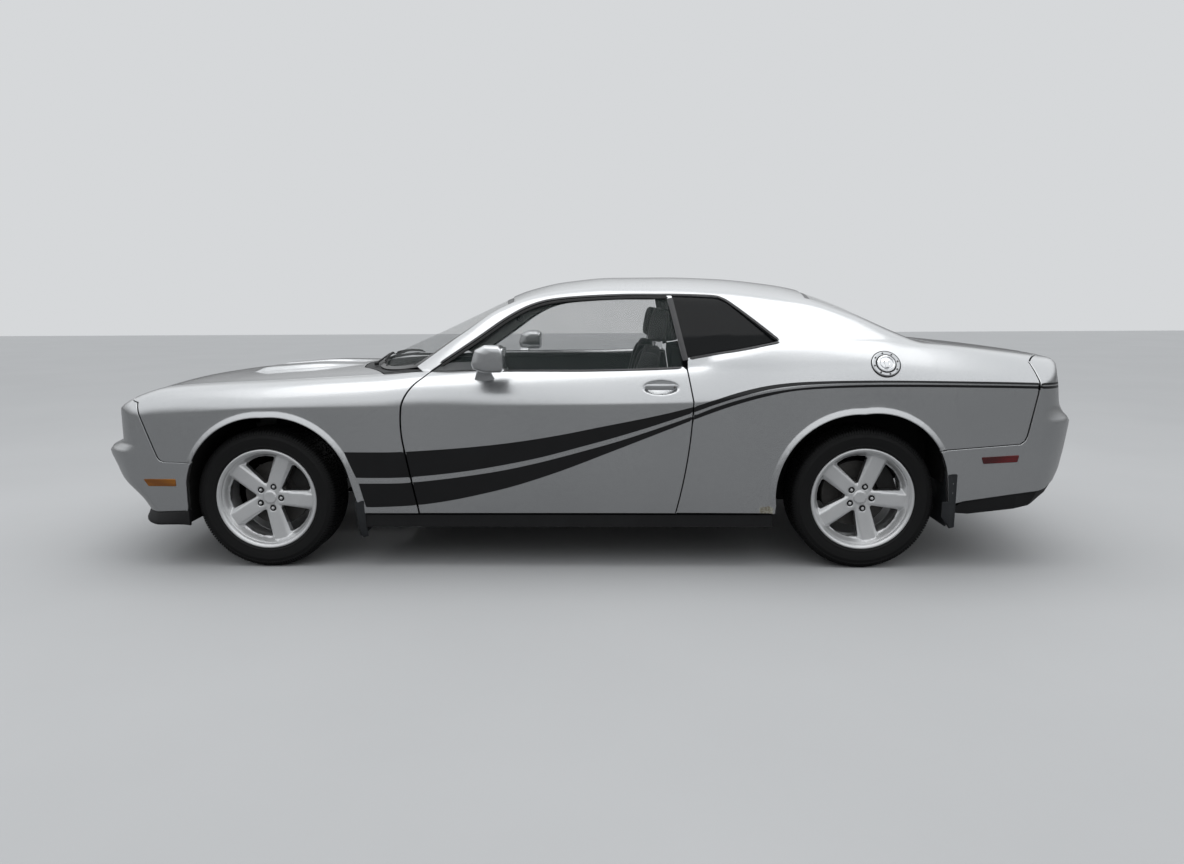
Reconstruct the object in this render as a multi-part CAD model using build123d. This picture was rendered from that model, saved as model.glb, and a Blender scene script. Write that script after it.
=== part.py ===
from build123d import *
"""Two-door muscle coupe at full size, in millimetres.

Frame: X runs rearwards, +Y is the car's right side, +Z is up.  The origin is on the ground under the
middle of the car, so the nose is at -LENGTH / 2 and the tail at +LENGTH / 2.
The skin is described by stations along X.  The body is lofted through those stations once for each
wall depth, and the panels are cut from it where the real panels meet.  Left-hand pieces are made
first and the right-hand ones mirror them.
"""

from math import cos, radians, sin, sqrt
import os

# ---------------------------------------------------------------- driving dimensions
LENGTH = 5022.0
WHEELBASE = 2946.0
FRONT_AXLE_X = -1566.0
REAR_AXLE_X = FRONT_AXLE_X + WHEELBASE
WHEEL_Y = 800.0  # middle plane of each wheel

TYRE_R = 350.0  # loaded radius, so the tyre stands on the ground
TYRE_HALF_W = 117.5
RIM_SEAT_R = 232.0  # bead seat of an 18 inch rim
RIM_HALF_W = 100.0
RIM_FLANGE_H = 15.0
RIM_WALL = 15.0
SPOKES = 5
SPOKE_HUB_W = 66.0
SPOKE_RIM_W = 84.0
SPOKE_DEPTH = 38.0
HUB_R = 78.0
HUB_FACE = 62.0  # hub face ahead of the wheel's middle plane
CAP_R = 33.0
DISC_R = 165.0
DISC_T = 26.0
DISC_BACK = 56.0  # disc's inner face behind the wheel's middle plane

PANEL_T = 14.0  # outer panels of one sheet with its folded edge
LID_T = 28.0  # hood and boot lid with their inner frames
DOOR_INNER_Y = 792.0
DOOR_SKIN_DEPTH = 40.0
DOOR_FLANGE = 20.0
PILLAR_T = 42.0
FASCIA_T = 26.0
GLASS_T = 5.0
GLASS_DEPTH = 6.0  # glass lies this far under the skin
GAP = 5.0  # shut lines
HINGE_GAP = 7.5  # shut lines beside the hinges of the hood and boot lid
DOOR_HINGE_GAP = 10.0  # front shut line of a door
SEAT = 0.3  # clearance of seated pieces, hinges and hubs

DOOR_HINGE_INSET = 25.0
DOOR_HINGE_LEAD = 20.0
DOOR_HINGE_Z = (640.0, 790.0)
LID_HINGE_DROP = 12.0
LID_HINGE_LEAD = 20.0
KNUCKLE_R = 9.0
HINGE_W = 16.0  # width of the hood and lid hinges
HOOD_HINGE_Y = 700.0
LID_HINGE_Y = 560.0

NOSE_X = -2090.0  # forward of this the plan of the body rounds in to the nose
TAIL_X = 2110.0  # behind this it rounds in to the tail
FLOOR_Z = 240.0
FLOOR_T = 14.0
SILL_BOTTOM = 214.0

# Body skin by station: bottom edge (zb, yb), crease (zc, yc), shoulder (zs, ys), panel line (zh, yh), centre zt
SKIN = [
    # x      zb   yb   zc   yc   zs    ys   zh    yh   zt
    (-2530, 236, 900, 640, 936, 664, 890, 684, 770, 752),
    (-2420, 236, 905, 712, 938, 738, 893, 762, 772, 818),
    (-2310, 236, 910, 762, 940, 788, 900, 812, 774, 869),
    (-2200, 236, 915, 776, 940, 832, 906, 866, 775, 901),
    (-2080, 262, 920, 783, 942, 862, 906, 898, 774, 918),
    (-1850, 278, 927, 797, 947, 880, 904, 914, 770, 932),
    (-1566, 282, 931, 812, 953, 892, 902, 925, 765, 952),
    (-1250, 281, 932, 817, 955, 908, 900, 941, 765, 972),
    (-980, 280, 932, 820, 955, 922, 897, 956, 768, 986),
    (-760, 278, 932, 822, 953, 944, 890, 978, 792, 994),
    (-400, 278, 931, 824, 951, 950, 888, 993, 832, 1020),
    (0, 278, 930, 826, 950, 952, 887, 998, 845, 1030),
    (300, 280, 931, 830, 952, 956, 889, 1006, 850, 1040),
    (560, 282, 934, 835, 955, 968, 892, 1019, 853, 1050),
    (760, 284, 938, 866, 958, 1002, 894, 1078, 848, 1090),
    (960, 286, 941, 903, 961, 1034, 895, 1116, 842, 1125),
    (1160, 288, 942, 922, 961, 1044, 895, 1124, 836, 1132),
    (1380, 290, 942, 928, 961, 1044, 893, 1116, 830, 1126),
    (1750, 290, 938, 926, 957, 1034, 884, 1094, 815, 1108),
    (2100, 262, 928, 920, 946, 1008, 868, 1054, 795, 1074),
    (2330, 236, 922, 914, 940, 976, 854, 1022, 780, 1044),
    (2530, 236, 915, 890, 934, 944, 842, 992, 770, 1014),
]

# Greenhouse by station: side's y at height zg, centre height zt, fall to the side per metre squared
ROOF = [
    # x      zg    yg   zt    fall
    (-1240, 985, 660, 953, 0.14),
    (-1110, 985, 692, 1021, 0.20),
    (-1010, 985, 722, 1072, 0.255),
    (-823, 985, 776, 1155, 0.27),
    (-600, 985, 822, 1257, 0.225),
    (-420, 985, 838, 1338, 0.165),
    (-300, 990, 842, 1382, 0.165),
    (-110, 990, 846, 1424, 0.19),
    (168, 995, 850, 1447, 0.215),
    (445, 1005, 852, 1447, 0.22),
    (743, 1040, 846, 1436, 0.22),
    (1000, 1060, 838, 1409, 0.215),
    (1150, 1060, 834, 1383, 0.20),
    (1364, 1060, 828, 1310, 0.17),
    (1553, 1060, 822, 1216, 0.13),
    (1760, 1060, 812, 1104, 0.06),
]
TUMBLEHOME = 0.66  # sideways lean of the side glass per unit of height
RAIL_ROUND = 60.0
ROOF_FOOT_Z = 860.0

# Nose and tail: foremost or rearmost x of the plan contour at each height, and its half-width
NOSE = [
    # z     x      y
    (170, -2300, 905),
    (242, -2335, 920),
    (400, -2458, 940),
    (552, -2511, 955),
    (592, -2511, 957),
    (640, -2450, 958),
    (795, -2448, 958),
    (852, -2398, 958),
    (1020, -2250, 958),
]
TAIL = [
    # z     x     y
    (200, 2150, 900),
    (265, 2250, 912),
    (366, 2400, 930),
    (485, 2480, 946),
    (584, 2503, 954),
    (714, 2511, 958),
    (728, 2509, 958),
    (765, 2462, 958),
    (805, 2436, 958),
    (908, 2420, 958),
    (998, 2394, 958),
    (1090, 2350, 958),
]

# Side-view outlines, x and z
DOOR_TOP_FRONT = (-704, 1100)
DOOR_BELT_FRONT = (-704, 994)
DOOR_FRONT_BOW = ((-822, 900), (-863, 815))
DOOR_FRONT_LOW = ((-868, 735), (-855, 606))
DOOR_BOTTOM_FRONT = (-797, 279)
DOOR_BOTTOM_REAR = (466, 282)
DOOR_REAR_BOW = ((527, 600), (547, 835))
DOOR_BELT_REAR = (516, 1100)

FRONT_ARCH = [(-1950, 100), (-1942, 440), (-1828, 656), (-1540, 765), (-1261, 680), (-1139, 501), (-1098, 340), (-1085, 100)]
REAR_ARCH = [(938, 100), (951, 330), (1035, 630), (1358, 776), (1668, 672), (1762, 481), (1778, 340), (1785, 100)]
FRONT_JOINT = [(-2222, 900), (-2175, 838), (-2079, 562), (-2050, 545), (-1880, 541)]
REAR_JOINT = [(2162, 1034), (2178, 931), (2170, 850), (2128, 650), (2095, 624), (1700, 599)]

DOOR_WINDOW = [(-738, 983), (-524, 1127), (-357, 1241), (-229, 1301), (-86, 1327), (189, 1341), (432, 1341), (497, 1040)]
QUARTER_WINDOW = [(458, 1341), (670, 1332), (749, 1296), (968, 1119), (781, 1082), (681, 1070), (524, 1040)]

HOOD_FRONT_X = -2352.0
HOOD_REAR_SIDE_X = -985.0
HOOD_REAR_MID_X = -1248.0
LID_FRONT_X = 1775.0
LID_HALF_W = 655.0
LID_LIP_Z = 962.0

GRILLE_Z = (656.0, 778.0)
GRILLE_HALF_W = 735.0
INTAKE_Z = (322.0, 452.0)
INTAKE_HALF_W = 500.0
LAMPS = [(655.0, 57.0), (510.0, 54.0)]  # y and radius of each headlamp
LAMP_Z = 717.0
TAIL_LAMP_Z = (812.0, 902.0)
TAIL_LAMP_HALF_W = 790.0

KINGPIN_Y = 708.0
ARM_Z = (196.0, 504.0)  # ball joints under and over the hub


# ---------------------------------------------------------------- helpers
def block(x0, x1, y0, y1, z0, z1):
    return Pos((x0 + x1) / 2, (y0 + y1) / 2, (z0 + z1) / 2) * Box(abs(x1 - x0), abs(y1 - y0), abs(z1 - z0))


def rod(p, q, r):
    """Cylinder of radius r from p to q."""
    a, b = Vector(*p), Vector(*q)
    d = b - a
    return Solid.make_cylinder(r, d.length, Plane(origin=a, z_dir=d))


def right(shape):
    """The right-hand piece that mirrors a left-hand one."""
    return mirror(shape, about=Plane.XZ)


def both(shape):
    return shape + right(shape)


def chain_wire(parts, place):
    """Closed wire from ('l', p, q) lines and ('a', p, mid, q) arcs; place maps a 2D point into space."""
    edges = []
    for kind, *pts in parts:
        pts = [place(p) for p in pts]
        edges.append(Edge.make_line(*pts) if kind == "l" else Edge.make_three_point_arc(*pts))
    return Wire(edges)


def side_prism(parts, y0, y1):
    """Solid from a closed X-Z chain of lines and arcs, from y0 to y1."""
    face = Face(chain_wire(parts, lambda p: (p[0], y0, p[1])))
    return Solid.extrude(face, Vector(0, y1 - y0, 0))


def plan_prism(parts, z0, z1):
    """Solid from a closed X-Y chain of lines and arcs, from z0 to z1."""
    face = Face(chain_wire(parts, lambda p: (p[0], p[1], z0)))
    return Solid.extrude(face, Vector(0, 0, z1 - z0))


def polygon(pts):
    return [("l", p, q) for p, q in zip(pts, pts[1:] + pts[:1])]


def bow(p, q, height):
    """Mid-point of p-q, moved height to the left of its direction."""
    dx, dy = q[0] - p[0], q[1] - p[1]
    n = sqrt(dx * dx + dy * dy)
    return ((p[0] + q[0]) / 2 - dy / n * height, (p[1] + q[1]) / 2 + dx / n * height)


def grown(pts, d):
    """Convex-ish outline moved outwards by d, corner by corner, away from its middle."""
    out = []
    n = len(pts)
    area = sum(pts[i][0] * pts[(i + 1) % n][1] - pts[(i + 1) % n][0] * pts[i][1] for i in range(n))
    s = 1.0 if area > 0 else -1.0
    for i in range(n):
        (x0, z0), (x1, z1), (x2, z2) = pts[i - 1], pts[i], pts[(i + 1) % n]
        ax, az, bx, bz = x1 - x0, z1 - z0, x2 - x1, z2 - z1
        la, lb = sqrt(ax * ax + az * az), sqrt(bx * bx + bz * bz)
        nx, nz = az / la + bz / lb, -(ax / la + bx / lb)
        k = s * d * 2 / (nx * nx + nz * nz)
        out.append((x1 + nx * k, z1 + nz * k))
    return out


# ---------------------------------------------------------------- masses that the panels are cut from
def body_section(row, t):
    """Full-width section of the body moved in by t; its bottom stays open to the ground side."""
    x, zb, yb, zc, yc, zs, ys, zh, yh, zt = row
    low = (yb - t, zb - (60.0 if t else 0.0))
    crease = (yc - t, zc - 0.15 * t)
    shoulder = (ys - 0.78 * t, zs - 0.5 * t)
    line = (yh - 0.35 * t, zh - 0.95 * t)
    side = bow(low, crease, -9.0)
    flip = lambda p: (-p[0], p[1])
    parts = [
        ("a", low, side, crease),
        ("a", crease, shoulder, line),
        ("a", line, (0.0, zt - t), flip(line)),
        ("a", flip(line), flip(shoulder), flip(crease)),
        ("a", flip(crease), flip(side), flip(low)),
        ("l", flip(low), low),
    ]
    return chain_wire(parts, lambda p: (x, p[0], p[1]))


def body_mass(t, x0=-9999.0, x1=9999.0):
    """Body between the stations that lie within x0 and x1, moved in by t."""
    return Solid.make_loft([body_section(r, t) for r in SKIN if x0 <= r[0] <= x1], ruled=True)


def roof_section(row, t):
    """Section of the greenhouse moved in by t, down to ROOF_FOOT_Z."""
    x, zg, yg, zt, fall = row
    zt, yg = zt - t, yg - 1.18 * t
    y = yg
    for _ in range(40):
        z = zt - fall * y * y / 1000.0
        y = 0.5 * y + 0.5 * (yg - TUMBLEHOME * (z - zg))
    lean = sqrt(1 + TUMBLEHOME**2)
    span = min(RAIL_ROUND, 0.7 * (z - ROOF_FOOT_Z))
    side = (y + TUMBLEHOME * span / lean, z - span / lean)
    top = (y - span, zt - fall * (y - span) ** 2 / 1000.0)
    mid = (0.25 * side[0] + 0.5 * y + 0.25 * top[0], 0.25 * side[1] + 0.5 * z + 0.25 * top[1])
    drop = 40.0 if t else 0.0
    foot = (yg + TUMBLEHOME * (zg - ROOF_FOOT_Z + drop), ROOF_FOOT_Z - drop)
    flip = lambda p: (-p[0], p[1])
    parts = [
        ("l", foot, side),
        ("a", side, mid, top),
        ("a", top, (0.0, zt), flip(top)),
        ("a", flip(top), flip(mid), flip(side)),
        ("l", flip(side), flip(foot)),
        ("l", flip(foot), foot),
    ]
    return chain_wire(parts, lambda p: (x, p[0], p[1]))


def greenhouse(t, x0=-9999.0, x1=9999.0):
    return Solid.make_loft([roof_section(r, t) for r in ROOF if x0 <= r[0] <= x1], ruled=True)


def plan_contour(z, tip, y, back, base, t):
    """Plan outline of the nose or tail at height z: rounded towards tip, straight back to back."""
    depth = tip - t * (1 if tip > 0 else -1) - base
    half = y - t
    at = lambda f: (base + depth * (1 - f ** (1 / 0.26)) ** (1 / 2.2), f * half)
    shoulder, corner, cheek = at(0.62), at(0.87), at(0.975)
    end, far = (base, half), (back, half)
    flip = lambda q: (q[0], -q[1])
    parts = [
        ("a", flip(shoulder), (base + depth, 0.0), shoulder),
        ("a", shoulder, corner, cheek),
        ("l", cheek, end),
        ("l", end, far),
        ("l", far, flip(far)),
        ("l", flip(far), flip(end)),
        ("l", flip(end), flip(cheek)),
        ("a", flip(cheek), flip(corner), flip(shoulder)),
    ]
    return chain_wire(parts, lambda q: (q[0], q[1], z))


def plan_mass(table, back, base, t):
    return Solid.make_loft([plan_contour(z, x, y, back, base, t) for z, x, y in table], ruled=True)


def nose_mass(t):
    return plan_mass(NOSE, 2300.0, NOSE_X, t)


def tail_mass(t):
    return plan_mass(TAIL, -2300.0, TAIL_X, t)


# ---------------------------------------------------------------- outlines
def door_outline(front, other, y0, y1):
    """The door's side view, moved in by front at its leading edge and by other elsewhere."""
    f = lambda p: (p[0] + front, p[1])
    r = lambda p: (p[0] - other, p[1])
    low_f = (DOOR_BOTTOM_FRONT[0] + front, DOOR_BOTTOM_FRONT[1] + other)
    low_r = (DOOR_BOTTOM_REAR[0] - other, DOOR_BOTTOM_REAR[1] + other)
    return side_prism(
        [
            ("l", f(DOOR_TOP_FRONT), f(DOOR_BELT_FRONT)),
            ("a", f(DOOR_BELT_FRONT), f(DOOR_FRONT_BOW[0]), f(DOOR_FRONT_BOW[1])),
            ("a", f(DOOR_FRONT_BOW[1]), f(DOOR_FRONT_LOW[0]), f(DOOR_FRONT_LOW[1])),
            ("l", f(DOOR_FRONT_LOW[1]), low_f),
            ("l", low_f, low_r),
            ("a", low_r, r(DOOR_REAR_BOW[0]), r(DOOR_REAR_BOW[1])),
            ("l", r(DOOR_REAR_BOW[1]), r(DOOR_BELT_REAR)),
            ("l", r(DOOR_BELT_REAR), f(DOOR_TOP_FRONT)),
        ],
        y0,
        y1,
    )


def arch(pts, y0, y1, out=0.0):
    """Wheel-arch opening grown outwards by out."""
    cx = pts[3][0]
    grow = lambda p: (p[0] + (out if p[0] > cx else -out if p[0] < cx else 0.0), p[1] + (out if p[1] > 520 else 0.0))
    a, b, m1, top, m2, c, d, e = (grow(p) for p in pts)
    return side_prism([("l", a, b), ("a", b, m1, top), ("a", top, m2, c), ("l", c, d), ("l", d, e), ("l", e, a)], y0, y1)


def hood_outline(inset):
    """Hood in plan, with a bowed front edge and a rear edge that follows the windscreen."""
    fx, rs, rm = HOOD_FRONT_X + inset, HOOD_REAR_SIDE_X - inset, HOOD_REAR_MID_X - inset
    side = [(-2280, 712), (-2200, 745), (-2080, 768), (-1850, 770), (-1566, 765), (-1250, 765), (rs, 765)]
    side = [(x, y - inset) for x, y in side]
    corner = (fx + 22, 640 - inset)
    flip = lambda p: (p[0], -p[1])
    rear_a = (rs, side[-1][1])
    rear_b = (rm + 62, 420.0)
    parts = [("a", flip(corner), (fx, 0.0), corner), ("a", corner, (fx + 34, 685 - inset), side[0])]
    parts += [("l", p, q) for p, q in zip(side, side[1:])]
    parts += [
        ("a", rear_a, (rs - 58, 640.0), rear_b),
        ("a", rear_b, (rm, 0.0), flip(rear_b)),
        ("a", flip(rear_b), (rs - 58, -640.0), flip(rear_a)),
    ]
    parts += [("l", flip(q), flip(p)) for p, q in reversed(list(zip(side, side[1:])))]
    parts += [("a", flip(side[0]), (fx + 34, -685 + inset), flip(corner))]
    return parts


def windscreen_outline(inset):
    """Windscreen in plan: curved base, leaning sides and a bowed header."""
    base_side, header = (-823 + inset, 752 - inset), (-345 - inset, 560 - inset)
    mid = (-1118 + inset, 360.0)
    flip = lambda p: (p[0], -p[1])
    return [
        ("a", flip(mid), (-1171 + inset, 0.0), mid),
        ("a", mid, (-1012 + inset, 612.0 - inset), base_side),
        ("l", base_side, header),
        ("a", header, (-395 - inset, 0.0), flip(header)),
        ("l", flip(header), flip(base_side)),
        ("a", flip(base_side), (-1012 + inset, -612.0 + inset), flip(mid)),
    ]


def rear_window_outline(inset):
    top, low = (1148 + inset, 545 - inset), (1690 - inset, 612 - inset)
    flip = lambda p: (p[0], -p[1])
    return [
        ("a", flip(top), (1178 + inset, 0.0), top),
        ("l", top, low),
        ("a", low, (1736 - inset, 0.0), flip(low)),
        ("l", flip(low), flip(top)),
    ]


# ---------------------------------------------------------------- body panels
LEFT = (-1250.0, -250.0)


def door_front_x():
    return DOOR_FRONT_LOW[0][0]


DOOR_AXIS_X = door_front_x() - DOOR_HINGE_GAP / 2 - DOOR_HINGE_LEAD
DOOR_AXIS_Y = -(955.0 - DOOR_HINGE_INSET)
HOOD_AXIS = (HOOD_REAR_SIDE_X - GAP / 2 + LID_HINGE_LEAD, 956.0 - LID_HINGE_DROP)
LID_AXIS = (LID_FRONT_X + GAP / 2 - LID_HINGE_LEAD, 1098.0 - LID_HINGE_DROP)


def biggest(shape):
    return shape.solids().sort_by(SortBy.VOLUME)[-1]


FRONT_ZONE = (-2600.0, -390.0)
MID_ZONE = (-1000.0, 770.0)
REAR_ZONE = (290.0, 2600.0)


def make_front(out):
    """Hood, fender, fascia, grille, lamps, chin spoiler and cowl."""
    outer, inner = body_mass(0.0, *FRONT_ZONE), body_mass(PANEL_T, *FRONT_ZONE)
    under_hood = body_mass(LID_T, *FRONT_ZONE)
    nose, nose_in = nose_mass(0.0), nose_mass(FASCIA_T)
    front_cut = side_prism(polygon([(-2700, 1300)] + FRONT_JOINT + [(-1880, 100), (-2700, 100)]), *LEFT)
    door_cut = door_outline(-DOOR_HINGE_GAP / 2, -GAP / 2, *LEFT)
    hood_well = plan_prism(hood_outline(-GAP / 2), 500, 1300)

    # fender: from the fascia to the door, down to the arch; thinned round the door's hinges
    fender = (outer & block(-2240, -700, -1100, -765, 150, 1100)) - inner
    fender = fender - (hood_well + door_cut + arch(FRONT_ARCH, *LEFT) + front_cut)
    fender -= block(-764, -650, -1100, -600, 930, 1100)
    for z in DOOR_HINGE_Z:
        fender -= block(DOOR_AXIS_X - 14, DOOR_AXIS_X + 60, DOOR_AXIS_Y - 17, -800, z - 42, z + 42)
    fender = biggest(fender)
    out["fender_left"] = fender

    # hood: the same skin at twice the depth, with two raised scoops
    hood = ((outer & nose) & plan_prism(hood_outline(GAP / 2), 500, 1300)) - under_hood
    ax, az = HOOD_AXIS
    hood -= rod((ax, -800, az), (ax, 800, az), 23.4)
    for side in (-1, 1):
        # x, half-width and height of each scoop section
        rows = ((-1960, 60, 922), (-1760, 118, 968), (-1560, 122, 984), (-1330, 108, 984), (-1240, 70, 972))
        section = lambda w, z: polygon([(side * 165 - w, 900), (side * 165 + w, 900), (side * 165 + w * 0.8, z), (side * 165 - w * 0.8, z)])
        hood += Solid.make_loft([chain_wire(section(w, z), lambda p, x=x: (x, p[0], p[1])) for x, w, z in rows], ruled=True) - under_hood
    out["hood"] = biggest(hood + hinge_barrel(HOOD_AXIS, HOOD_HINGE_Y, -1))

    # fascia: the nose cut back to its joints, hollow and open to the inside
    lines = [(-2700, 1300), (FRONT_JOINT[0][0], 1300)] + FRONT_JOINT + [(-1880, 300), (-1953, 293), (-2255, 242), (-2700, 242)]
    hollow = (inner & nose_in) & block(-2600, -1700, -1100, 1100, 242 + FASCIA_T, 1000)
    fascia = ((outer & block(-2600, -1850, -1100, 1100, 150, 1000)) & nose) & side_prism(polygon(lines), -1100, 1100)
    fascia = fascia - (arch(FRONT_ARCH, -1250, 1250) + hood_well)
    fascia -= hollow
    fascia -= block(-2700, -2250, -GRILLE_HALF_W, GRILLE_HALF_W, *GRILLE_Z)
    fascia -= block(-2700, -2250, -INTAKE_HALF_W, INTAKE_HALF_W, *INTAKE_Z)
    out["front_fascia"] = biggest(fascia)

    # grilles stand against the fascia's inner face, with the four lamps let into the upper one
    liner = nose_mass(FASCIA_T + SEAT) - nose_mass(FASCIA_T + 14)
    upper = liner & block(-2600, -2250, -GRILLE_HALF_W - 10, GRILLE_HALF_W + 10, GRILLE_Z[0] - 12, GRILLE_Z[1])
    lower = liner & block(-2600, -2250, -INTAKE_HALF_W - 12, INTAKE_HALF_W + 12, INTAKE_Z[0] - 12, INTAKE_Z[1] + 12)
    lamps = []
    for side in (-1, 1):
        for y, r in LAMPS:
            upper -= rod((-2600, side * y, LAMP_Z), (-2200, side * y, LAMP_Z), r + SEAT)
            front = NOSE_X - (2436 + NOSE_X) * (1 - (y / 958) ** 3.85) ** 0.4545
            lamps.append(rod((front + 4, side * y, LAMP_Z), (front + 70, side * y, LAMP_Z), r))
    for k in range(6):
        z = INTAKE_Z[0] + 12 + k * 21
        for side in (-1, 1):
            lower -= block(-2600, -2250, side * 4, side * (INTAKE_HALF_W - 14), z, z + 13)
    out["grille"] = biggest(upper) + lower
    out["headlamps"] = Compound(lamps)

    spoiler = lambda t: plan_mass([(196, -2345, 892), (242, -2345, 892)], -1990 - 40 * (t > 0), NOSE_X, t)
    out["chin_spoiler"] = spoiler(0.0) - spoiler(14.0)


def make_rear(out):
    """Quarter panels, deck, boot lid, rear fascia, valance and lamps."""
    outer, inner = body_mass(0.0, *REAR_ZONE), body_mass(PANEL_T, *REAR_ZONE)
    tail, tail_in = tail_mass(0.0), tail_mass(FASCIA_T)
    rear_cut = side_prism(polygon([(2700, 1300), (REAR_JOINT[0][0], 1300)] + REAR_JOINT + [(1700, 100), (2700, 100)]), *LEFT)
    door_cut = door_outline(-DOOR_HINGE_GAP / 2, -GAP / 2, *LEFT)
    deck_y = 700.0
    lid_well = block(LID_FRONT_X + GAP / 2 - HINGE_GAP - 1, 2600, -LID_HALF_W - GAP / 2, LID_HALF_W + GAP / 2, LID_LIP_Z - GAP / 2, 1300)

    quarter = (outer & block(440, 2200, -1100, -deck_y, 150, 1200)) - inner
    quarter = quarter - (door_cut + arch(REAR_ARCH, *LEFT) + rear_cut)
    quarter -= greenhouse(PILLAR_T, 160, 1900)
    out["quarter_left"] = biggest(quarter)

    lid_box = block(LID_FRONT_X + GAP / 2, 2600, -LID_HALF_W + GAP / 2, LID_HALF_W - GAP / 2, LID_LIP_Z + GAP / 2, 1300)
    lid = ((outer & lid_box) & tail) - (body_mass(LID_T, *REAR_ZONE) & tail_mass(LID_T))
    ax, az = LID_AXIS
    lid -= rod((ax, -800, az), (ax, 800, az), 23.4)
    out["boot_lid"] = biggest(lid + hinge_barrel(LID_AXIS, LID_HINGE_Y, 1))

    # deck between the quarters, round the rear window's foot and the boot opening
    deck = (outer & block(1640, REAR_JOINT[0][0], -deck_y, deck_y, 900, 1300)) - inner
    deck = deck - lid_well - greenhouse(PILLAR_T / 2, 1300, 1900)
    out["rear_deck"] = biggest(deck - hinge_slots(LID_AXIS, LID_HINGE_Y, 1))

    hollow = (inner & tail_in) & block(1600, 2600, -1100, 1100, 250, 1200)
    shape = (outer & block(1690, 2600, -1100, 1100, 150, 1200)) & tail
    lines = [(2700, 1300), (REAR_JOINT[0][0], 1300)] + REAR_JOINT + [(1700, 300), (1860, 345), (2260, 403), (2330, 420), (2700, 420)]
    fascia = shape & side_prism(polygon(lines), -1100, 1100)
    fascia = fascia - (arch(REAR_ARCH, -1250, 1250) + lid_well)
    fascia = fascia - hollow
    fascia -= block(2300, 2600, -TAIL_LAMP_HALF_W, TAIL_LAMP_HALF_W, *TAIL_LAMP_Z)
    out["rear_fascia"] = biggest(fascia)

    lines = [(1800, 300), (1860, 345), (2260, 403), (2330, 420), (2600, 420), (2600, 330), (2261, 330), (2082, 303), (1800, 268)]
    valance = (shape & side_prism(polygon(lines), -1100, 1100)) - (hollow + arch(REAR_ARCH, -1250, 1250))
    out["rear_valance"] = biggest(valance)

    lamps = (tail_mass(FASCIA_T + SEAT) - tail_mass(FASCIA_T + 22)) & block(2300, 2600, -TAIL_LAMP_HALF_W - 10, TAIL_LAMP_HALF_W + 10, TAIL_LAMP_Z[0] - 8, TAIL_LAMP_Z[1] + 8)
    out["tail_lamps"] = lamps


def make_door(out):
    outer = body_mass(0.0, *MID_ZONE)
    skin_y = 955.0 - DOOR_SKIN_DEPTH
    skin = (outer & block(-900, 600, -1100, -skin_y, 200, 1100)) & door_outline(DOOR_HINGE_GAP / 2, GAP / 2, -1100, -skin_y)
    core = (outer & block(-900, 600, -skin_y, -DOOR_INNER_Y, 200, 1100)) & door_outline(DOOR_HINGE_GAP / 2 + DOOR_FLANGE, GAP / 2 + DOOR_FLANGE, -skin_y, -DOOR_INNER_Y)
    door = skin + core
    door -= rod((DOOR_AXIS_X, DOOR_AXIS_Y, 480), (DOOR_AXIS_X, DOOR_AXIS_Y, 900), 37.0)
    for z in DOOR_HINGE_Z:
        hub = rod((DOOR_AXIS_X, DOOR_AXIS_Y, z - 15), (DOOR_AXIS_X, DOOR_AXIS_Y, z + 15), KNUCKLE_R)
        strap = [(-3, 6), (6, -3), (64, 72), (54, 84)]
        door += hub + plan_prism(polygon([(DOOR_AXIS_X + x, DOOR_AXIS_Y + y) for x, y in strap]), z - 15, z + 15)
    pane = greenhouse(GLASS_DEPTH, -1120, 800) - greenhouse(GLASS_DEPTH + GLASS_T, -1120, 800)
    pts = grown(DOOR_WINDOW, -GAP)
    front, rear = pts[0], pts[-1]
    shape = polygon([(front[0] + 2, 962)] + pts + [(rear[0] + 14, 985)])
    glass = biggest(pane & side_prism(shape, -1100, -400))
    door -= glass
    out["door_left"] = biggest(door)
    out["door_glass_left"] = glass

    rows = ((-500, 22, 1008, 1094), (-462, 4, 990, 1112), (-400, 0, 987, 1115), (-354, 0, 989, 1113))
    section = lambda c, z0, z1: polygon([(-1085 + c, z0), (-908 - c, z0), (-908 - c, z1), (-1085 + c, z1)])
    head = Solid.make_loft([chain_wire(section(c, z0, z1), lambda p, x=x: (x, p[0], p[1])) for x, c, z0, z1 in rows], ruled=True)
    out["mirror_left"] = biggest((head + prism_foot()) - door)
    out["handle_left"] = make_handle(door)
    return outer


def prism_foot():
    """Arm of the mirror, from the door's shoulder out to the head."""
    return side_prism(polygon([(-505, 940), (-415, 936), (-400, 1010), (-470, 1010)]), -935, -868)


def make_handle(door):
    pull = block(316, 468, -976, -962, 892, 914) + block(316, 338, -976, -930, 892, 914) + block(446, 468, -976, -930, 892, 914)
    dish = block(306, 478, -962, -925, 872, 884)
    return ((pull + dish) - door).solids().sort_by(SortBy.VOLUME)[-1]


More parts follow.
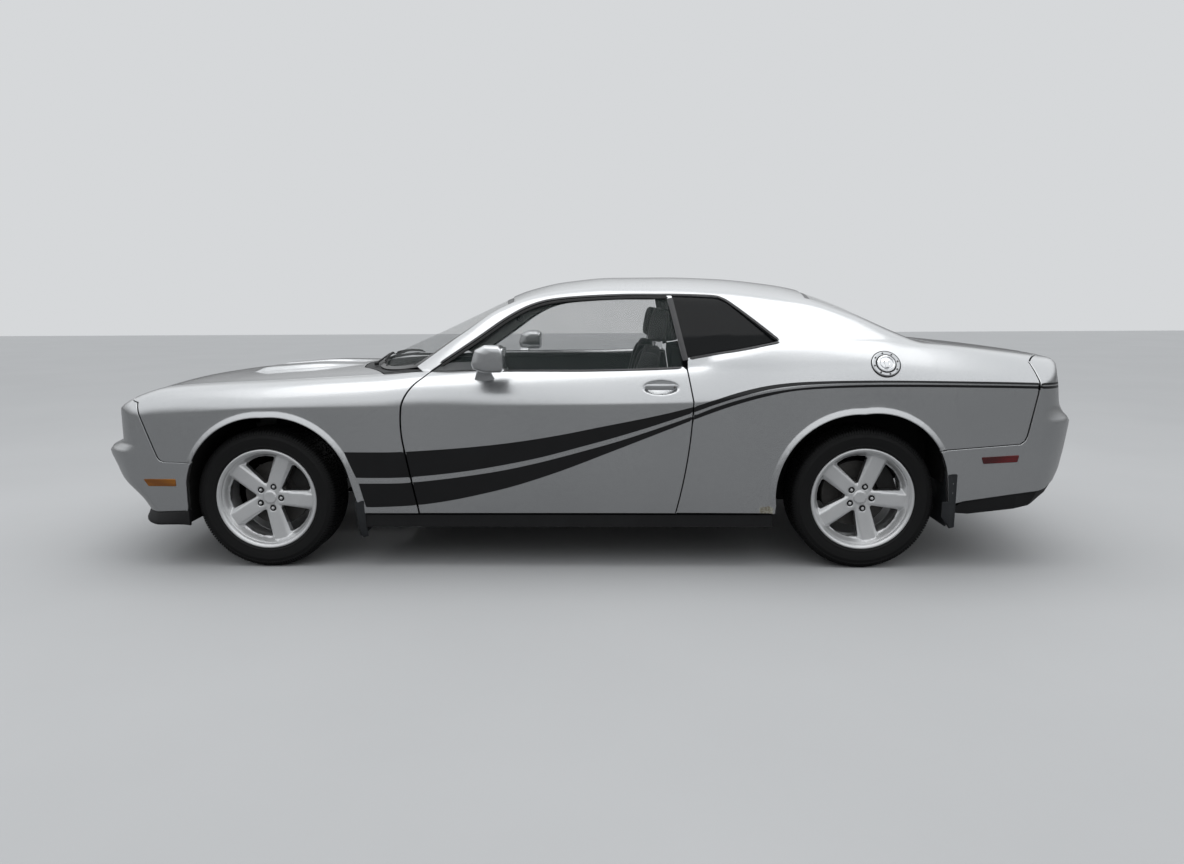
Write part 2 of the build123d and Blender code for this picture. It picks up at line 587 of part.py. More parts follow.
def make_roof(out):
    """Roof with its pillars, and the fixed glass."""
    outer = body_mass(0.0, -1300, 2110)
    shell = (greenhouse(0.0, -1020) - greenhouse(PILLAR_T, -1020)) - outer
    shell -= plan_prism(windscreen_outline(0.0), 880, 1500)
    shell -= plan_prism(rear_window_outline(0.0), 880, 1500)
    for outline in (DOOR_WINDOW + [(520, 850), (-738, 850)], QUARTER_WINDOW):
        cut = side_prism(polygon(outline), -1100, -400)
        shell = shell - cut - right(cut)
    out["roof_panel"] = biggest(shell - block(-1300, -835, -1000, 1000, 800, 1300))

    pane = greenhouse(GLASS_DEPTH, -1300, -290) - greenhouse(GLASS_DEPTH + GLASS_T, -1300, -290)
    out["windscreen"] = biggest((pane & plan_prism(windscreen_outline(SEAT), 880, 1500)) - outer)
    pane = greenhouse(GLASS_DEPTH, 740) - greenhouse(GLASS_DEPTH + GLASS_T, 740)
    out["rear_window"] = biggest((pane & plan_prism(rear_window_outline(SEAT), 880, 1500)) - outer)
    pane = greenhouse(GLASS_DEPTH, 160, 1160) - greenhouse(GLASS_DEPTH + GLASS_T, 160, 1160)
    glass = biggest(pane & side_prism(polygon(grown(QUARTER_WINDOW, -SEAT)), -1100, -400))
    out["quarter_glass"] = glass + right(glass)
    out["quarter_left"] = biggest(out["quarter_left"] - glass)


def make_cowl(out):
    """Band between the hood and the windscreen, slotted for the hood's hinges."""
    cowl = (body_mass(0.0, *FRONT_ZONE) & block(-1290, -767, -785, 785, 850, 1100)) - body_mass(LID_T, *FRONT_ZONE)
    cowl = cowl - plan_prism(hood_outline(GAP / 2 - HINGE_GAP), 500, 1300) - plan_prism(windscreen_outline(40.0), 500, 1300)
    cowl = cowl - out["windscreen"] - out["fender_left"] - right(out["fender_left"])
    door_cut = door_outline(-DOOR_HINGE_GAP / 2, -GAP / 2, *LEFT)
    cowl = cowl - door_cut - right(door_cut)
    out["cowl"] = biggest(cowl - hinge_slots(HOOD_AXIS, HOOD_HINGE_Y, -1))


def hinge_barrel(axis, y, toward):
    """Barrel of a lid hinge with its strap, to both sides; toward is the lid's side of the axis in X."""
    x, z = axis
    barrel = rod((x, y + SEAT, z), (x, y + HINGE_W - SEAT, z), KNUCKLE_R)
    strap = block(x + toward * 4, x + toward * 74, y + SEAT, y + HINGE_W - SEAT, z - 15, z - 5)
    return both(barrel + strap)


def hinge_slots(axis, y, toward):
    x, z = axis
    return both(block(x - toward * 13, x + toward * 80, y, y + HINGE_W, z - 60, z + 60))


# ---------------------------------------------------------------- structure under the skin
def make_structure(out, seat_in):
    """Floor, firewall, rails, towers, hinge pillars, sills, inner sides and boot tub."""
    lo, hi = FLOOR_Z, FLOOR_Z + FLOOR_T
    floor = block(-985, 900, -700, 700, lo, hi)
    floor += block(886, 900, -626, 626, lo, 470) + block(886, 1180, -626, 626, 456, 470)
    floor += block(1166, 1180, -626, 626, 456, 560) + block(1166, 1806, -626, 626, 546, 560)
    floor -= block(-985, 750, -140, 140, lo - 1, hi + 1)
    tunnel = block(-985, 764, -154, 154, lo, 440) - block(-1000, 750, -140, 140, lo - 1, 426)
    floor += tunnel
    out["floor_pan"] = floor

    boot = block(1806, 2310, -690, 690, 425, 760) - block(1818, 2298, -678, 678, 437, 800)
    out["boot_tub"] = boot

    fs = block(-999, -985, -785, 785, lo, 890)
    for s in (-1, 1):
        fs += block(-2330, -985, s * 400, s * 470, 440, 530)
        fs += block(-1060, -985, s * 400, s * 470, 250, 530)
        tower = block(-1670, -1462, s * 470, s * 700, 735, 850)
        fs += tower + block(-1670, -1462, s * 440, s * 470, 500, 850)
        fs += block(-2050, -985, s * 700, s * 720, 790, 850)
        fs += block(-962, -878, s * 740, s * 888, 274, 900) + block(-985, -878, s * 740, s * 785, hi, 890)
    fs += block(-2210, -2170, -700, 700, 720, 800) + block(-2210, -2170, -470, 470, 320, 370)
    fs += block(-2210, -2170, -470, -400, 320, 800) + block(-2210, -2170, 400, 470, 320, 800)
    fs += block(-2230, -2150, -390, 390, 370, 720)
    fs += block(-2390, -2330, -620, 620, 470, 570)
    for s in (-1, 1):
        fs += block(-2050, -2030, s * 690, s * 930, 730, 850)
        fs += block(-1010, -985, s * 700, s * 930, 790, 880)
    fs = (fs & seat_in) - both(block(-1100, -860, -940, -700, 200, 274))
    fs = biggest(fs)
    ears = None
    for z in DOOR_HINGE_Z:
        for dz0, dz1 in ((-15 - SEAT - 14, -15 - SEAT), (15 + SEAT, 15 + SEAT + 14)):
            hub = rod((DOOR_AXIS_X, DOOR_AXIS_Y, z + dz0), (DOOR_AXIS_X, DOOR_AXIS_Y, z + dz1), KNUCKLE_R)
            arm = block(DOOR_AXIS_X - 9, DOOR_AXIS_X + 5, DOOR_AXIS_Y, -885, z + dz0, z + dz1)
            for ear in (hub + arm, right(hub + arm)):
                ears = ear if ears is None else ears + ear
    fs += ears
    out["front_structure"] = fs

    sill = block(-1092 + SEAT, 940, -925, -700, SILL_BOTTOM, 274) + block(-876, 886, -785, -700, 274, 400)
    sill -= block(-990, 1000, -710, -600, 200, 240) + block(-1100, 950, -700.0, -600, 200, 500)
    out["sills"] = both(sill)

    # wheelhouse: a shell over the tyre and a wall inboard of it
    over = [(890, 276), (890, 560), (1010, 720), (1180, 800), (1580, 800), (1750, 700), (1786, 560), (1786, 425)]
    under = [(1772, 425), (1772, 550), (1738, 688), (1574, 786), (1187, 786), (1023, 708), (904, 555), (904, 276)]
    house = side_prism(polygon(over + under), -1000, -626) - block(1690, 1900, -1100, -860, 200, 640) - block(880, 910, -1100, -885, 200, 560)
    wall = side_prism(polygon(over + [(904, 276)]), -640, -626)
    wall -= rod((REAR_AXLE_X, -700, TYRE_R), (REAR_AXLE_X, -600, TYRE_R), 165)
    out["wheelhouses"] = both((house + wall) & seat_in)
    out["side_trims"] = both(block(560, 885, -784, -770, 400, 1000))


def make_cabin(out):
    def seat(x, y, w, back_w):
        cushion = block(x - 260, x + 250, y - w / 2, y + w / 2, 300, 440)
        base = block(x - 230, x + 200, y - w / 2 + 40, y + w / 2 - 40, FLOOR_Z + FLOOR_T, 300)
        back = side_prism(polygon([(x + 190, 440), (x + 320, 440), (x + 430, 1090), (x + 330, 1090)]), y - back_w / 2, y + back_w / 2)
        head = side_prism(polygon([(x + 340, 1100), (x + 425, 1100), (x + 450, 1280), (x + 380, 1280)]), y - 130, y + 130)
        posts = block(x + 372, x + 388, y - 66, y - 54, 1080, 1110) + block(x + 372, x + 388, y + 54, y + 66, 1080, 1110)
        return cushion + base + back + head + posts

    out["front_seat_left"] = seat(20, -400, 480, 470)
    out["front_seat_right"] = right(out["front_seat_left"])
    rear = block(770, 1160, -600, 600, 470, 560) + side_prism(polygon([(1060, 560), (1160, 560), (1250, 1000), (1150, 1000)]), -600, 600)
    rear += block(770, 884, -600, 600, FLOOR_Z + FLOOR_T, 560)
    out["rear_seat"] = rear
    dash = side_prism(polygon([(-985 + SEAT, 560), (-985 + SEAT, 880), (-900, 925), (-640, 950), (-560, 900), (-540, 800), (-620, 620)]), -735, 735)
    out["dashboard"] = dash
    centre = Plane(origin=(-440, -365, 860), z_dir=(-cos(radians(24)), 0, -sin(radians(24))))
    wheel = centre * (Torus(178, 16) + Cylinder(46, 34) + Box(330, 34, 16) + Pos(0, -85, 0) * Box(34, 150, 16))
    column = rod((-452, -365, 855), (-552, -365, 811), 28)
    out["steering_wheel"] = biggest((wheel + column) - dash)
    console = block(-530, 560, -95, 95, 440 + SEAT, 560)
    out["console"] = console
    shelf = block(1200, 1740, -600, 600, 1000 + SEAT, 1014)
    out["parcel_shelf"] = shelf


def make_drive(out):
    engine = block(-1880, -1300, -250, 250, 330, 640) + block(-1840, -1340, -290, 290, 640, 800)
    engine += block(-1300, -1060, -130, 130, 300, 560)
    engine += block(-1600, -1530, -400, 400, 380, 430)
    out["engine_block"] = engine
    pipe = None
    for s in (-1, 1):
        run = rod((-1200, s * 190, 206), (1500, s * 190, 206), 28)
        run += rod((1500, s * 190, 206), (1900, s * 520, 250), 28)
        run += rod((-1200, s * 190, 206), (-1330, s * 190, 206), 28) + rod((-1330, s * 190, 206), (-1330, s * 190, 330 - SEAT), 28)
        run += block(200, 220, s * 185, s * 195, 230, FLOOR_Z)
        pipe = run if pipe is None else pipe + run
    for s in (-1, 1):
        pipe += block(1840, 2240, s * 400, s * 640, 205, 300)
        pipe += rod((2220, s * 560, 262), (2440, s * 560, 285), 36)
        pipe += block(2040, 2060, s * 515, s * 525, 300, 425)
    out["exhaust"] = pipe

    sub = block(-1640, -1490, -430, 430, 170, 240)
    sub += block(-1640, -1490, -440, -400, 240, 440) + block(-1640, -1490, 400, 440, 240, 440)
    arm_parts = []
    for s in (-1, 1):
        k = KINGPIN_Y
        for z, inner in ((ARM_Z[0], 430), (ARM_Z[1], 470)):
            pts = [(-30, k), (30, k), (30, 500), (110, inner), (60, inner), (0, 505), (-60, inner), (-110, inner), (-30, 500)]
            arm = plan_prism(polygon([(FRONT_AXLE_X + x, s * y) for x, y in pts]), z - 12, z + 12)
            boss = rod((FRONT_AXLE_X, s * k, z - 20), (FRONT_AXLE_X, s * k, z + 20), 26)
            arm_parts.append((s, z, arm + boss))
    for s, z, a in arm_parts:
        if z == ARM_Z[0]:
            sub += a
    out["front_subframe"] = sub
    strut = None
    for s, z, a in arm_parts:
        if z == ARM_Z[1]:
            leg = rod((FRONT_AXLE_X, s * 575, ARM_Z[0] + 12), (FRONT_AXLE_X, s * 575, 735), 26)
            leg += rod((FRONT_AXLE_X, s * 575, 300), (FRONT_AXLE_X, s * 575, 700), 46)
            piece = a + leg
            strut = piece if strut is None else strut + piece
    out["front_struts"] = strut

    rear = block(1240, 1330, -430, 430, 300, 380) + block(1440, 1520, -430, 430, 300, 380)
    rear += block(1250, 1510, -120, 120, 280, 450)
    for s in (-1, 1):
        rear += rod((REAR_AXLE_X, s * 100, TYRE_R), (REAR_AXLE_X, s * 700, TYRE_R), 24)
        rear += block(1290, 1330, s * 420, s * 690, 230, 262) + block(1430, 1480, s * 420, s * 690, 230, 262)
        rear += block(1240, 1330, s * 400, s * 430, 230, 380) + block(1430, 1520, s * 400, s * 430, 230, 380)
        rear += block(1300, 1470, s * 668, s * (WHEEL_Y - DISC_BACK - SEAT - 20), 230, 470)
        rear += rod((REAR_AXLE_X, s * 660, TYRE_R), (REAR_AXLE_X, s * (WHEEL_Y - DISC_BACK - SEAT), TYRE_R), 55)
        rear += caliper(REAR_AXLE_X, s, 25)
        rear += block(1240, 1330, s * 380, s * 430, 380, 545.7)
    out["rear_axle"] = rear


def caliper(x, s, angle):
    """Brake caliper that straddles the disc, at an angle above the axle on the rear side."""
    y_in, y_out = WHEEL_Y - DISC_BACK, WHEEL_Y - DISC_BACK + DISC_T
    body = rod((x, s * (y_in - 30), TYRE_R), (x, s * (y_out + 24), TYRE_R), 200)
    body -= rod((x, s * (y_in - 40), TYRE_R), (x, s * (y_out + 40), TYRE_R), 112)
    body -= rod((x, s * (y_in - 5), TYRE_R), (x, s * (y_out + 5), TYRE_R), DISC_R + 5)
    a, b = radians(angle - 28), radians(angle + 28)
    far = 420
    wedge = polygon([(x, TYRE_R), (x + far * cos(a), TYRE_R + far * sin(a)), (x + far * cos(b), TYRE_R + far * sin(b))])
    body = body & side_prism(wedge, -1000, 1000)
    arm = rod((x, s * (y_in - 28), TYRE_R), (x + 150 * cos(radians(angle)), s * (y_in - 28), TYRE_R + 150 * sin(radians(angle))), 14)
    return body + arm


def make_knuckle():
    """Left front upright: hub carrier between the two ball joints, with its caliper."""
    s, x, k = -1, FRONT_AXLE_X, KINGPIN_Y
    lo, hi = ARM_Z[0] + 20 + SEAT, ARM_Z[1] - 20 - SEAT
    post = rod((x, s * k, lo), (x, s * k, hi), 24)
    hub = rod((x, s * (k - 40), TYRE_R), (x, s * (WHEEL_Y - DISC_BACK - SEAT), TYRE_R), 55)
    return post + hub + caliper(x, s, 20)


# ---------------------------------------------------------------- wheels
def make_tyre(x, s):
    w, r = TYRE_HALF_W, TYRE_R
    pts = [(RIM_SEAT_R, -RIM_HALF_W), (RIM_SEAT_R + RIM_FLANGE_H, -RIM_HALF_W - 5), (300, -w), (r - 15, -w + 7), (r, -w + 27)]
    pts = pts + [(p[0], -p[1]) for p in reversed(pts)]
    face = Face(Wire.make_polygon([(x + p[0], s * WHEEL_Y + p[1], TYRE_R) for p in pts], close=True))
    return Solid.revolve(face, 360, Axis((x, s * WHEEL_Y, TYRE_R), (0, 1, 0)))


def make_rim(x, s):
    """Rim, five spokes and hub, with the brake disc behind."""
    seat, f, w, t = RIM_SEAT_R - 0.2, RIM_FLANGE_H, RIM_HALF_W, RIM_WALL
    pts = [
        (seat, -w - 0.2), (seat, w + 0.2), (seat + f, w + 5.3), (seat + f + 3, w + 8), (seat + f + 1, w + 14), (seat + f - 4, w + 15),
        (seat - t + 4, w - 2), (seat - t, w - 20), (seat - t, -w + 18), (seat - t + 8, -w - 8), (seat + f - 2, -w - 14), (seat + f + 2, -w - 10), (seat + f, -w - 5.3),
    ]
    y0 = s * WHEEL_Y
    face = Face(Wire.make_polygon([(x + p[0], y0 + s * p[1], TYRE_R) for p in pts], close=True))
    rim = Solid.revolve(face, 360, Axis((x, y0, TYRE_R), (0, 1, 0)))
    yy = lambda v: s * (WHEEL_Y + v)
    hub = rod((x, yy(-DISC_BACK + DISC_T), TYRE_R), (x, yy(HUB_FACE), TYRE_R), HUB_R)
    hub += rod((x, yy(HUB_FACE), TYRE_R), (x, yy(HUB_FACE + 8), TYRE_R), CAP_R)
    hub += rod((x, yy(-DISC_BACK), TYRE_R), (x, yy(-DISC_BACK + DISC_T), TYRE_R), DISC_R)
    wheel = rim + hub
    for k in range(SPOKES):
        a = radians(-4.5 + 360 / SPOKES * k)
        wires = []
        for r, width, front, depth in ((40, SPOKE_HUB_W, HUB_FACE, SPOKE_DEPTH), (seat - t + 3, SPOKE_RIM_W, RIM_HALF_W - 8, SPOKE_DEPTH)):
            cx, cz = x + r * cos(a), TYRE_R + r * sin(a)
            ux, uz = -sin(a), cos(a)
            h, g = width / 2, width / 2 - 12
            ring = [(h, front - depth), (h, front - 14), (g, front), (-g, front), (-h, front - 14), (-h, front - depth)]
            wires.append(Wire.make_polygon([(cx + ux * p, yy(q), cz + uz * p) for p, q in ring], close=True))
        wheel += Solid.make_loft(wires, ruled=True)
    return wheel


def make_small(out):
    x, z, r = 1460.0, 1012.0, 68.0
    cap = rod((x, -950, z), (x, -880, z), r) & body_mass(-7.0, 1300, 1800)
    out["fuel_cap"] = biggest(cap - body_mass(0.0, 1300, 1800))
    flap_f = block(-1104, -1092, -912, -700, 156, 350)
    flap_r = block(1786 + SEAT, 1798, -864, -690, 211, 480)
    out["mud_flaps"] = both(flap_f) + both(flap_r)


def build():
    out = {}
    make_front(out)
    make_rear(out)
    make_door(out)
    make_roof(out)
    make_cowl(out)
    make_structure(out, body_mass(PANEL_T + SEAT))
    make_cabin(out)
    make_drive(out)
    make_small(out)
    out["knuckle_left"] = make_knuckle()
    for name in ("fender", "quarter", "door", "door_glass", "mirror", "handle", "knuckle"):
        out[name + "_right"] = right(out[name + "_left"])
    for place, x in (("front", FRONT_AXLE_X), ("rear", REAR_AXLE_X)):
        for side, s in (("left", -1), ("right", 1)):
            out[f"rim_{place}_{side}"] = make_rim(x, s)
            out[f"tyre_{place}_{side}"] = make_tyre(x, s)
    return out


os.makedirs("parts", exist_ok=True)
for name, shape in build().items():
    export_step(shape, f"parts/{name}.step")
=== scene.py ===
# %% [markdown]
# # A two-door muscle coupe
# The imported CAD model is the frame: its bodies and joints are fixed, and every piece made here rides on one of them.
# The CAD panels are flat-sided lofts, good for fitting and for collision. Here the skin is made again as one smooth
# function of space, and each panel is a patch of that skin with a folded edge and a real wall.
# All lengths in this file are millimetres until a mesh is made, where they become metres.

# %% Load the frame
import math
import bpy
import numpy as np
from mathutils import Matrix, Vector
from mathutils.geometry import delaunay_2d_cdt


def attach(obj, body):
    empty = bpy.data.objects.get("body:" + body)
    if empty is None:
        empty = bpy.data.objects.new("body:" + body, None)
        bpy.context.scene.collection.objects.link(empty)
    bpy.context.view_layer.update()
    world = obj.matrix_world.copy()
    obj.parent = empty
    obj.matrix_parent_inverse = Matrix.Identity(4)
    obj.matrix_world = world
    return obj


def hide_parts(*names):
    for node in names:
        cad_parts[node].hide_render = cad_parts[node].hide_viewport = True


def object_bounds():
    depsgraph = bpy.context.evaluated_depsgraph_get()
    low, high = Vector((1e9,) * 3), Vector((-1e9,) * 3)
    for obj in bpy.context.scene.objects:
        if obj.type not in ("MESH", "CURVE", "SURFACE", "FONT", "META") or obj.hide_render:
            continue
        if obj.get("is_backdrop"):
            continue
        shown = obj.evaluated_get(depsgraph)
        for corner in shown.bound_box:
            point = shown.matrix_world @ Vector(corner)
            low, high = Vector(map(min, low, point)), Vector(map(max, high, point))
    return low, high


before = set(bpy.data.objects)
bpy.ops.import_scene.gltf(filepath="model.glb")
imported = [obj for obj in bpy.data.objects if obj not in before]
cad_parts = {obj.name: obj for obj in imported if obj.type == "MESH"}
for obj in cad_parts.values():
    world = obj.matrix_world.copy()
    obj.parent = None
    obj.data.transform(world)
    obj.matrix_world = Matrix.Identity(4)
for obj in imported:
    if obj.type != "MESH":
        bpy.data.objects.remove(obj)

cad_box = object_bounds()

# %% [markdown]
# ## Camera first
# A camera is a place, a direction and a lens. The place is 4.9 m from the car's middle plane at eye height,
# looking slightly down, with a wide lens, so the near side of the car shows flat and its far side is foreshortened.

# %% Camera
def add_camera(place, pitch, yaw, roll, lens):
    """Camera at place that looks along +Y, turned down by pitch, left by yaw and rolled."""
    camera = bpy.data.objects.new("camera", bpy.data.cameras.new("camera"))
    bpy.context.scene.collection.objects.link(camera)
    camera.data.lens, camera.data.sensor_width, camera.data.clip_end = lens, 36, 200
    turns = Matrix.Rotation(yaw, 4, "Z") @ Matrix.Rotation(math.pi / 2 - pitch, 4, "X")
    camera.matrix_world = Matrix.Translation(place) @ (turns @ Matrix.Rotation(-roll, 4, "Z"))
    bpy.context.scene.camera = camera


add_camera(Vector((0.1645, -4.9123, 1.3137)), pitch=0.1556, yaw=0.0265, roll=0.0058, lens=25.307)

# %% [markdown]
# ## The skin as a function
# A body is drawn as stations along its length. Between stations each measure follows a smooth curve that never
# overshoots. Every section is kept as a radius for each angle round a point inside the car, so asking whether a
# point is inside takes one look in a table, and its slope gives the shading normal.

# %% Stations
NOSE_X, TAIL_X, PLAN_Y = -2090.0, 2110.0, 958.0

# x, then height and half-width of: bottom edge, crease, shoulder, panel line; height of the centre
SKIN = [
    (-2530, 236, 900, 640, 936, 664, 890, 684, 770, 752),
    (-2420, 236, 905, 712, 938, 738, 893, 762, 772, 818),
    (-2310, 236, 910, 762, 940, 788, 900, 812, 774, 869),
    (-2200, 236, 915, 776, 940, 832, 906, 866, 775, 901),
    (-2080, 262, 920, 783, 942, 862, 906, 898, 774, 918),
    (-1850, 278, 927, 797, 947, 880, 904, 914, 770, 932),
    (-1566, 282, 931, 812, 953, 892, 902, 925, 765, 952),
    (-1250, 281, 932, 817, 955, 908, 900, 941, 765, 972),
    (-980, 280, 932, 820, 955, 922, 897, 956, 768, 986),
    (-760, 278, 932, 822, 953, 944, 890, 978, 792, 994),
    (-400, 278, 931, 824, 951, 950, 888, 993, 832, 1020),
    (0, 278, 930, 826, 950, 952, 887, 998, 845, 1030),
    (300, 280, 931, 830, 952, 956, 889, 1006, 850, 1040),
    (560, 282, 934, 835, 955, 968, 892, 1019, 853, 1050),
    (760, 284, 938, 866, 958, 1002, 894, 1078, 848, 1090),
    (960, 286, 941, 903, 961, 1034, 895, 1116, 842, 1125),
    (1160, 288, 942, 922, 961, 1044, 895, 1124, 836, 1132),
    (1380, 290, 942, 928, 961, 1044, 893, 1116, 830, 1126),
    (1750, 290, 938, 926, 957, 1034, 884, 1094, 815, 1108),
    (2100, 262, 928, 920, 946, 1008, 868, 1054, 795, 1074),
    (2330, 236, 922, 914, 940, 976, 854, 1022, 780, 1044),
    (2530, 236, 915, 890, 934, 944, 842, 992, 770, 1014),
]

# x, height and half-width where the side glass starts, height of the centre, fall to the side per metre squared
ROOF = [
    (-1240, 985, 660, 953, 0.14),
    (-1110, 985, 692, 1021, 0.20),
    (-1010, 985, 722, 1072, 0.255),
    (-823, 985, 776, 1155, 0.27),
    (-600, 985, 822, 1257, 0.225),
    (-420, 985, 838, 1338, 0.165),
    (-300, 990, 842, 1382, 0.165),
    (-110, 990, 846, 1424, 0.19),
    (168, 995, 850, 1447, 0.215),
    (445, 1005, 852, 1447, 0.22),
    (743, 1040, 846, 1436, 0.22),
    (1000, 1060, 838, 1409, 0.215),
    (1150, 1060, 834, 1383, 0.20),
    (1364, 1060, 828, 1310, 0.17),
    (1553, 1060, 822, 1216, 0.13),
    (1760, 1060, 812, 1104, 0.06),
]

# height, then how far the nose or the tail reaches there
NOSE = [(170, -2300), (242, -2322), (280, -2345), (355, -2378), (430, -2436), (500, -2468), (552, -2499),
    (572, -2511), (592, -2510), (634, -2413), (795, -2412), (852, -2388), (1020, -2250)]
TAIL = [(200, 2150), (265, 2250), (366, 2400), (485, 2464), (584, 2488), (714, 2511), (728, 2509), (765, 2462),
    (805, 2436), (908, 2420), (998, 2394), (1090, 2350)]


def between(table, step):
    """Rows of a table at every step of its first column, each column on a smooth curve that never overshoots."""
    t = np.array(table, float)
    x = t[:, 0]
    xs = np.arange(x[0], x[-1] + step / 2, step)
    h = np.diff(x)[:, None]
    d = np.diff(t, axis=0) / h
    same = d[:-1] * d[1:] > 0
    inner = np.where(same, 2 * d[:-1] * d[1:] / np.where(same, d[:-1] + d[1:], 1), 0)
    m = np.vstack([d[:1], inner, d[-1:]])
    k = np.clip(np.searchsorted(x, xs) - 1, 0, len(x) - 2)
    s = ((xs - x[k]) / h[k, 0])[:, None]
    rows = (2 * s**3 - 3 * s**2 + 1) * t[k] + (s**3 - 2 * s**2 + s) * h[k] * m[k]
    return xs, rows + (3 * s**2 - 2 * s**3) * t[k + 1] + (s**3 - s**2) * h[k] * m[k + 1]


def unit(v):
    """Vectors of length one."""
    return v / np.maximum(np.linalg.norm(v, axis=-1, keepdims=True), 1e-9)


def left_of(line):
    """Directions square to a flat line, on its left."""
    along = np.gradient(line, axis=0)
    return unit(np.stack([-along[:, 1], along[:, 0]], 1))


def arc(p, m, q, n=14):
    """n steps along the circle from p through m to q."""
    p, m, q = (np.array(v, float) for v in (p, m, q))
    d = 2 * (p[0] * (m[1] - q[1]) + m[0] * (q[1] - p[1]) + q[0] * (p[1] - m[1]))
    if abs(d) < 1e-3:
        return np.linspace(p, q, n + 1)
    sq = [v @ v for v in (p, m, q)]
    c = np.array([
        sq[0] * (m[1] - q[1]) + sq[1] * (q[1] - p[1]) + sq[2] * (p[1] - m[1]),
        sq[0] * (q[0] - m[0]) + sq[1] * (p[0] - q[0]) + sq[2] * (m[0] - p[0]),
    ]) / d
    a0, a1, a2 = (math.atan2(v[1] - c[1], v[0] - c[0]) for v in (p, m, q))
    turn = lambda a, b: (b - a) % (2 * math.pi)
    sweep = turn(a0, a2) if turn(a0, a1) < turn(a0, a2) else -turn(a2, a0)
    a = a0 + sweep * np.linspace(0, 1, n + 1)
    return c + np.linalg.norm(p - c) * np.stack([np.cos(a), np.sin(a)], 1)


# %% Sections as radius by angle
STEP_X, STEP_A = 5.0, math.radians(0.25)
ANGLES = np.arange(math.radians(-60), math.radians(90) + STEP_A / 2, STEP_A)
BODY_EYE, ROOF_EYE = 520.0, 860.0  # heights that the angles are taken from


def polar(outline, eye):
    """Radius at each of ANGLES of a half section given as (y, z) points from its foot to its top."""
    y, z = np.array(outline, float).T
    return np.interp(ANGLES, np.arctan2(z - eye, y), np.hypot(y, z - eye))


def blurred(values, steps):
    """Values smoothed over a number of steps."""
    k = np.exp(-0.5 * (np.arange(-3 * steps, 3 * steps + 1) / steps) ** 2)
    return np.convolve(np.pad(values, 3 * steps, mode="edge"), k / k.sum(), "valid")


def body_half_section(row):
    """Radii of the body's half section at a station: a swelling side, a blurred shoulder and a crowned top."""
    _, zb, yb, zc, yc, zs, ys, zh, yh, zt = row
    low, crease, line = np.array((yb, zb)), np.array((yc, zc)), (yh, zh)
    out = np.array((crease[1] - low[1], low[0] - crease[0]))
    swell = (low + crease) / 2 + 9 * out / np.linalg.norm(out)
    side = np.vstack([[yb - 30, zb - 120], arc(low, swell, crease), arc(crease, (ys, zs), line)[1:]])
    top = arc(line, (0, zt), (-yh, zh), 28)[1:15]
    r = polar(np.vstack([side, top]), BODY_EYE)
    above = np.clip((ANGLES - math.atan2(zc - BODY_EYE, yc) - math.radians(1.0)) / math.radians(3), 0, 1)
    return r + (blurred(r, 7) - r) * above


def roof_half_section(row):
    """Radii of the greenhouse's half section: a leaning side that bends into the crowned roof."""
    _, zg, yg, zt, fall = row
    lean, foot = 0.66, 800.0
    y = yg
    for _ in range(40):
        z = zt - fall * y * y / 1000
        y = 0.5 * y + 0.5 * (yg - lean * (z - zg))
    n = math.hypot(1, lean)
    span = min(60.0, 0.7 * max(z - ROOF_EYE, 20))
    side = (y + lean * span / n, z - span / n)
    top = (y - span, zt - fall * (y - span) ** 2 / 1000)
    mid = (0.25 * side[0] + 0.5 * y + 0.25 * top[0], 0.25 * side[1] + 0.5 * z + 0.25 * top[1])
    crown = arc(top, (0, zt), (-top[0], top[1]), 28)[1:15]
    wall = np.linspace((yg + lean * (zg - foot), foot), side, 40)
    wall[:, 0] += 12 * np.sin(np.linspace(0, math.pi, 40))
    points = np.vstack([wall[:-1], arc(side, mid, top), crown])
    return blurred(polar(points, ROOF_EYE), 3)


def section_table(rows, half_section):
    """Places along the car and the radii of the section at each."""
    xs, dense = between(rows, STEP_X)
    return xs, np.array([half_section(r) for r in dense])


BODY_X, BODY_R = section_table(SKIN, body_half_section)
ROOF_X, ROOF_R = section_table(ROOF, roof_half_section)
REACH_Z = np.arange(150, 1100, 2.0)
NOSE_REACH = blurred(np.interp(REACH_Z, *zip(*NOSE)), 2)
TAIL_REACH = blurred(np.interp(REACH_Z, *zip(*TAIL)), 2)
print("skin table:", BODY_R.shape, "roof table:", ROOF_R.shape)

# %% [markdown]
# The pieces of the function: a table look-up for the body and the greenhouse, a rounded plan for the nose and tail,
# and soft joins, which leave a fillet where two forms meet, as pressed steel does.

# %% The skin function
def bilinear(table, i, j):
    """Value of a table at fractional places i and j, straight between its four nearest entries."""
    i, j = np.clip(i, 0, table.shape[0] - 1.001), np.clip(j, 0, table.shape[1] - 1.001)
    m, n = i.astype(int), j.astype(int)
    u, v = i - m, j - n
    near, far = (table[m, k] * (1 - u) + table[m + 1, k] * u for k in (n, n + 1))
    return near * (1 - v) + far * v


def soft_max(a, b, k):
    """The greater of two fields, with a fillet of width k where they cross."""
    k = np.maximum(k, 1e-6)
    h = np.clip(0.5 + 0.5 * (a - b) / k, 0, 1)
    return b + (a - b) * h + k * h * (1 - h)


def ramp(x, a, b):
    """0 before a, 1 after b, smooth between them."""
    t = np.clip((x - a) / (b - a), 0, 1)
    return t * t * (3 - 2 * t)


def out_of_table(xs, table, eye, x, y, z):
    """How far a point stands out of a table's sections, below zero inside them."""
    y = abs(y)
    angle = np.arctan2(z - eye, y)
    return np.hypot(y, z - eye) - bilinear(table, (x - xs[0]) / STEP_X, (angle - ANGLES[0]) / STEP_A)


def body_field(x, y, z):
    """The plain body."""
    return out_of_table(BODY_X, BODY_R, BODY_EYE, x, y, z)


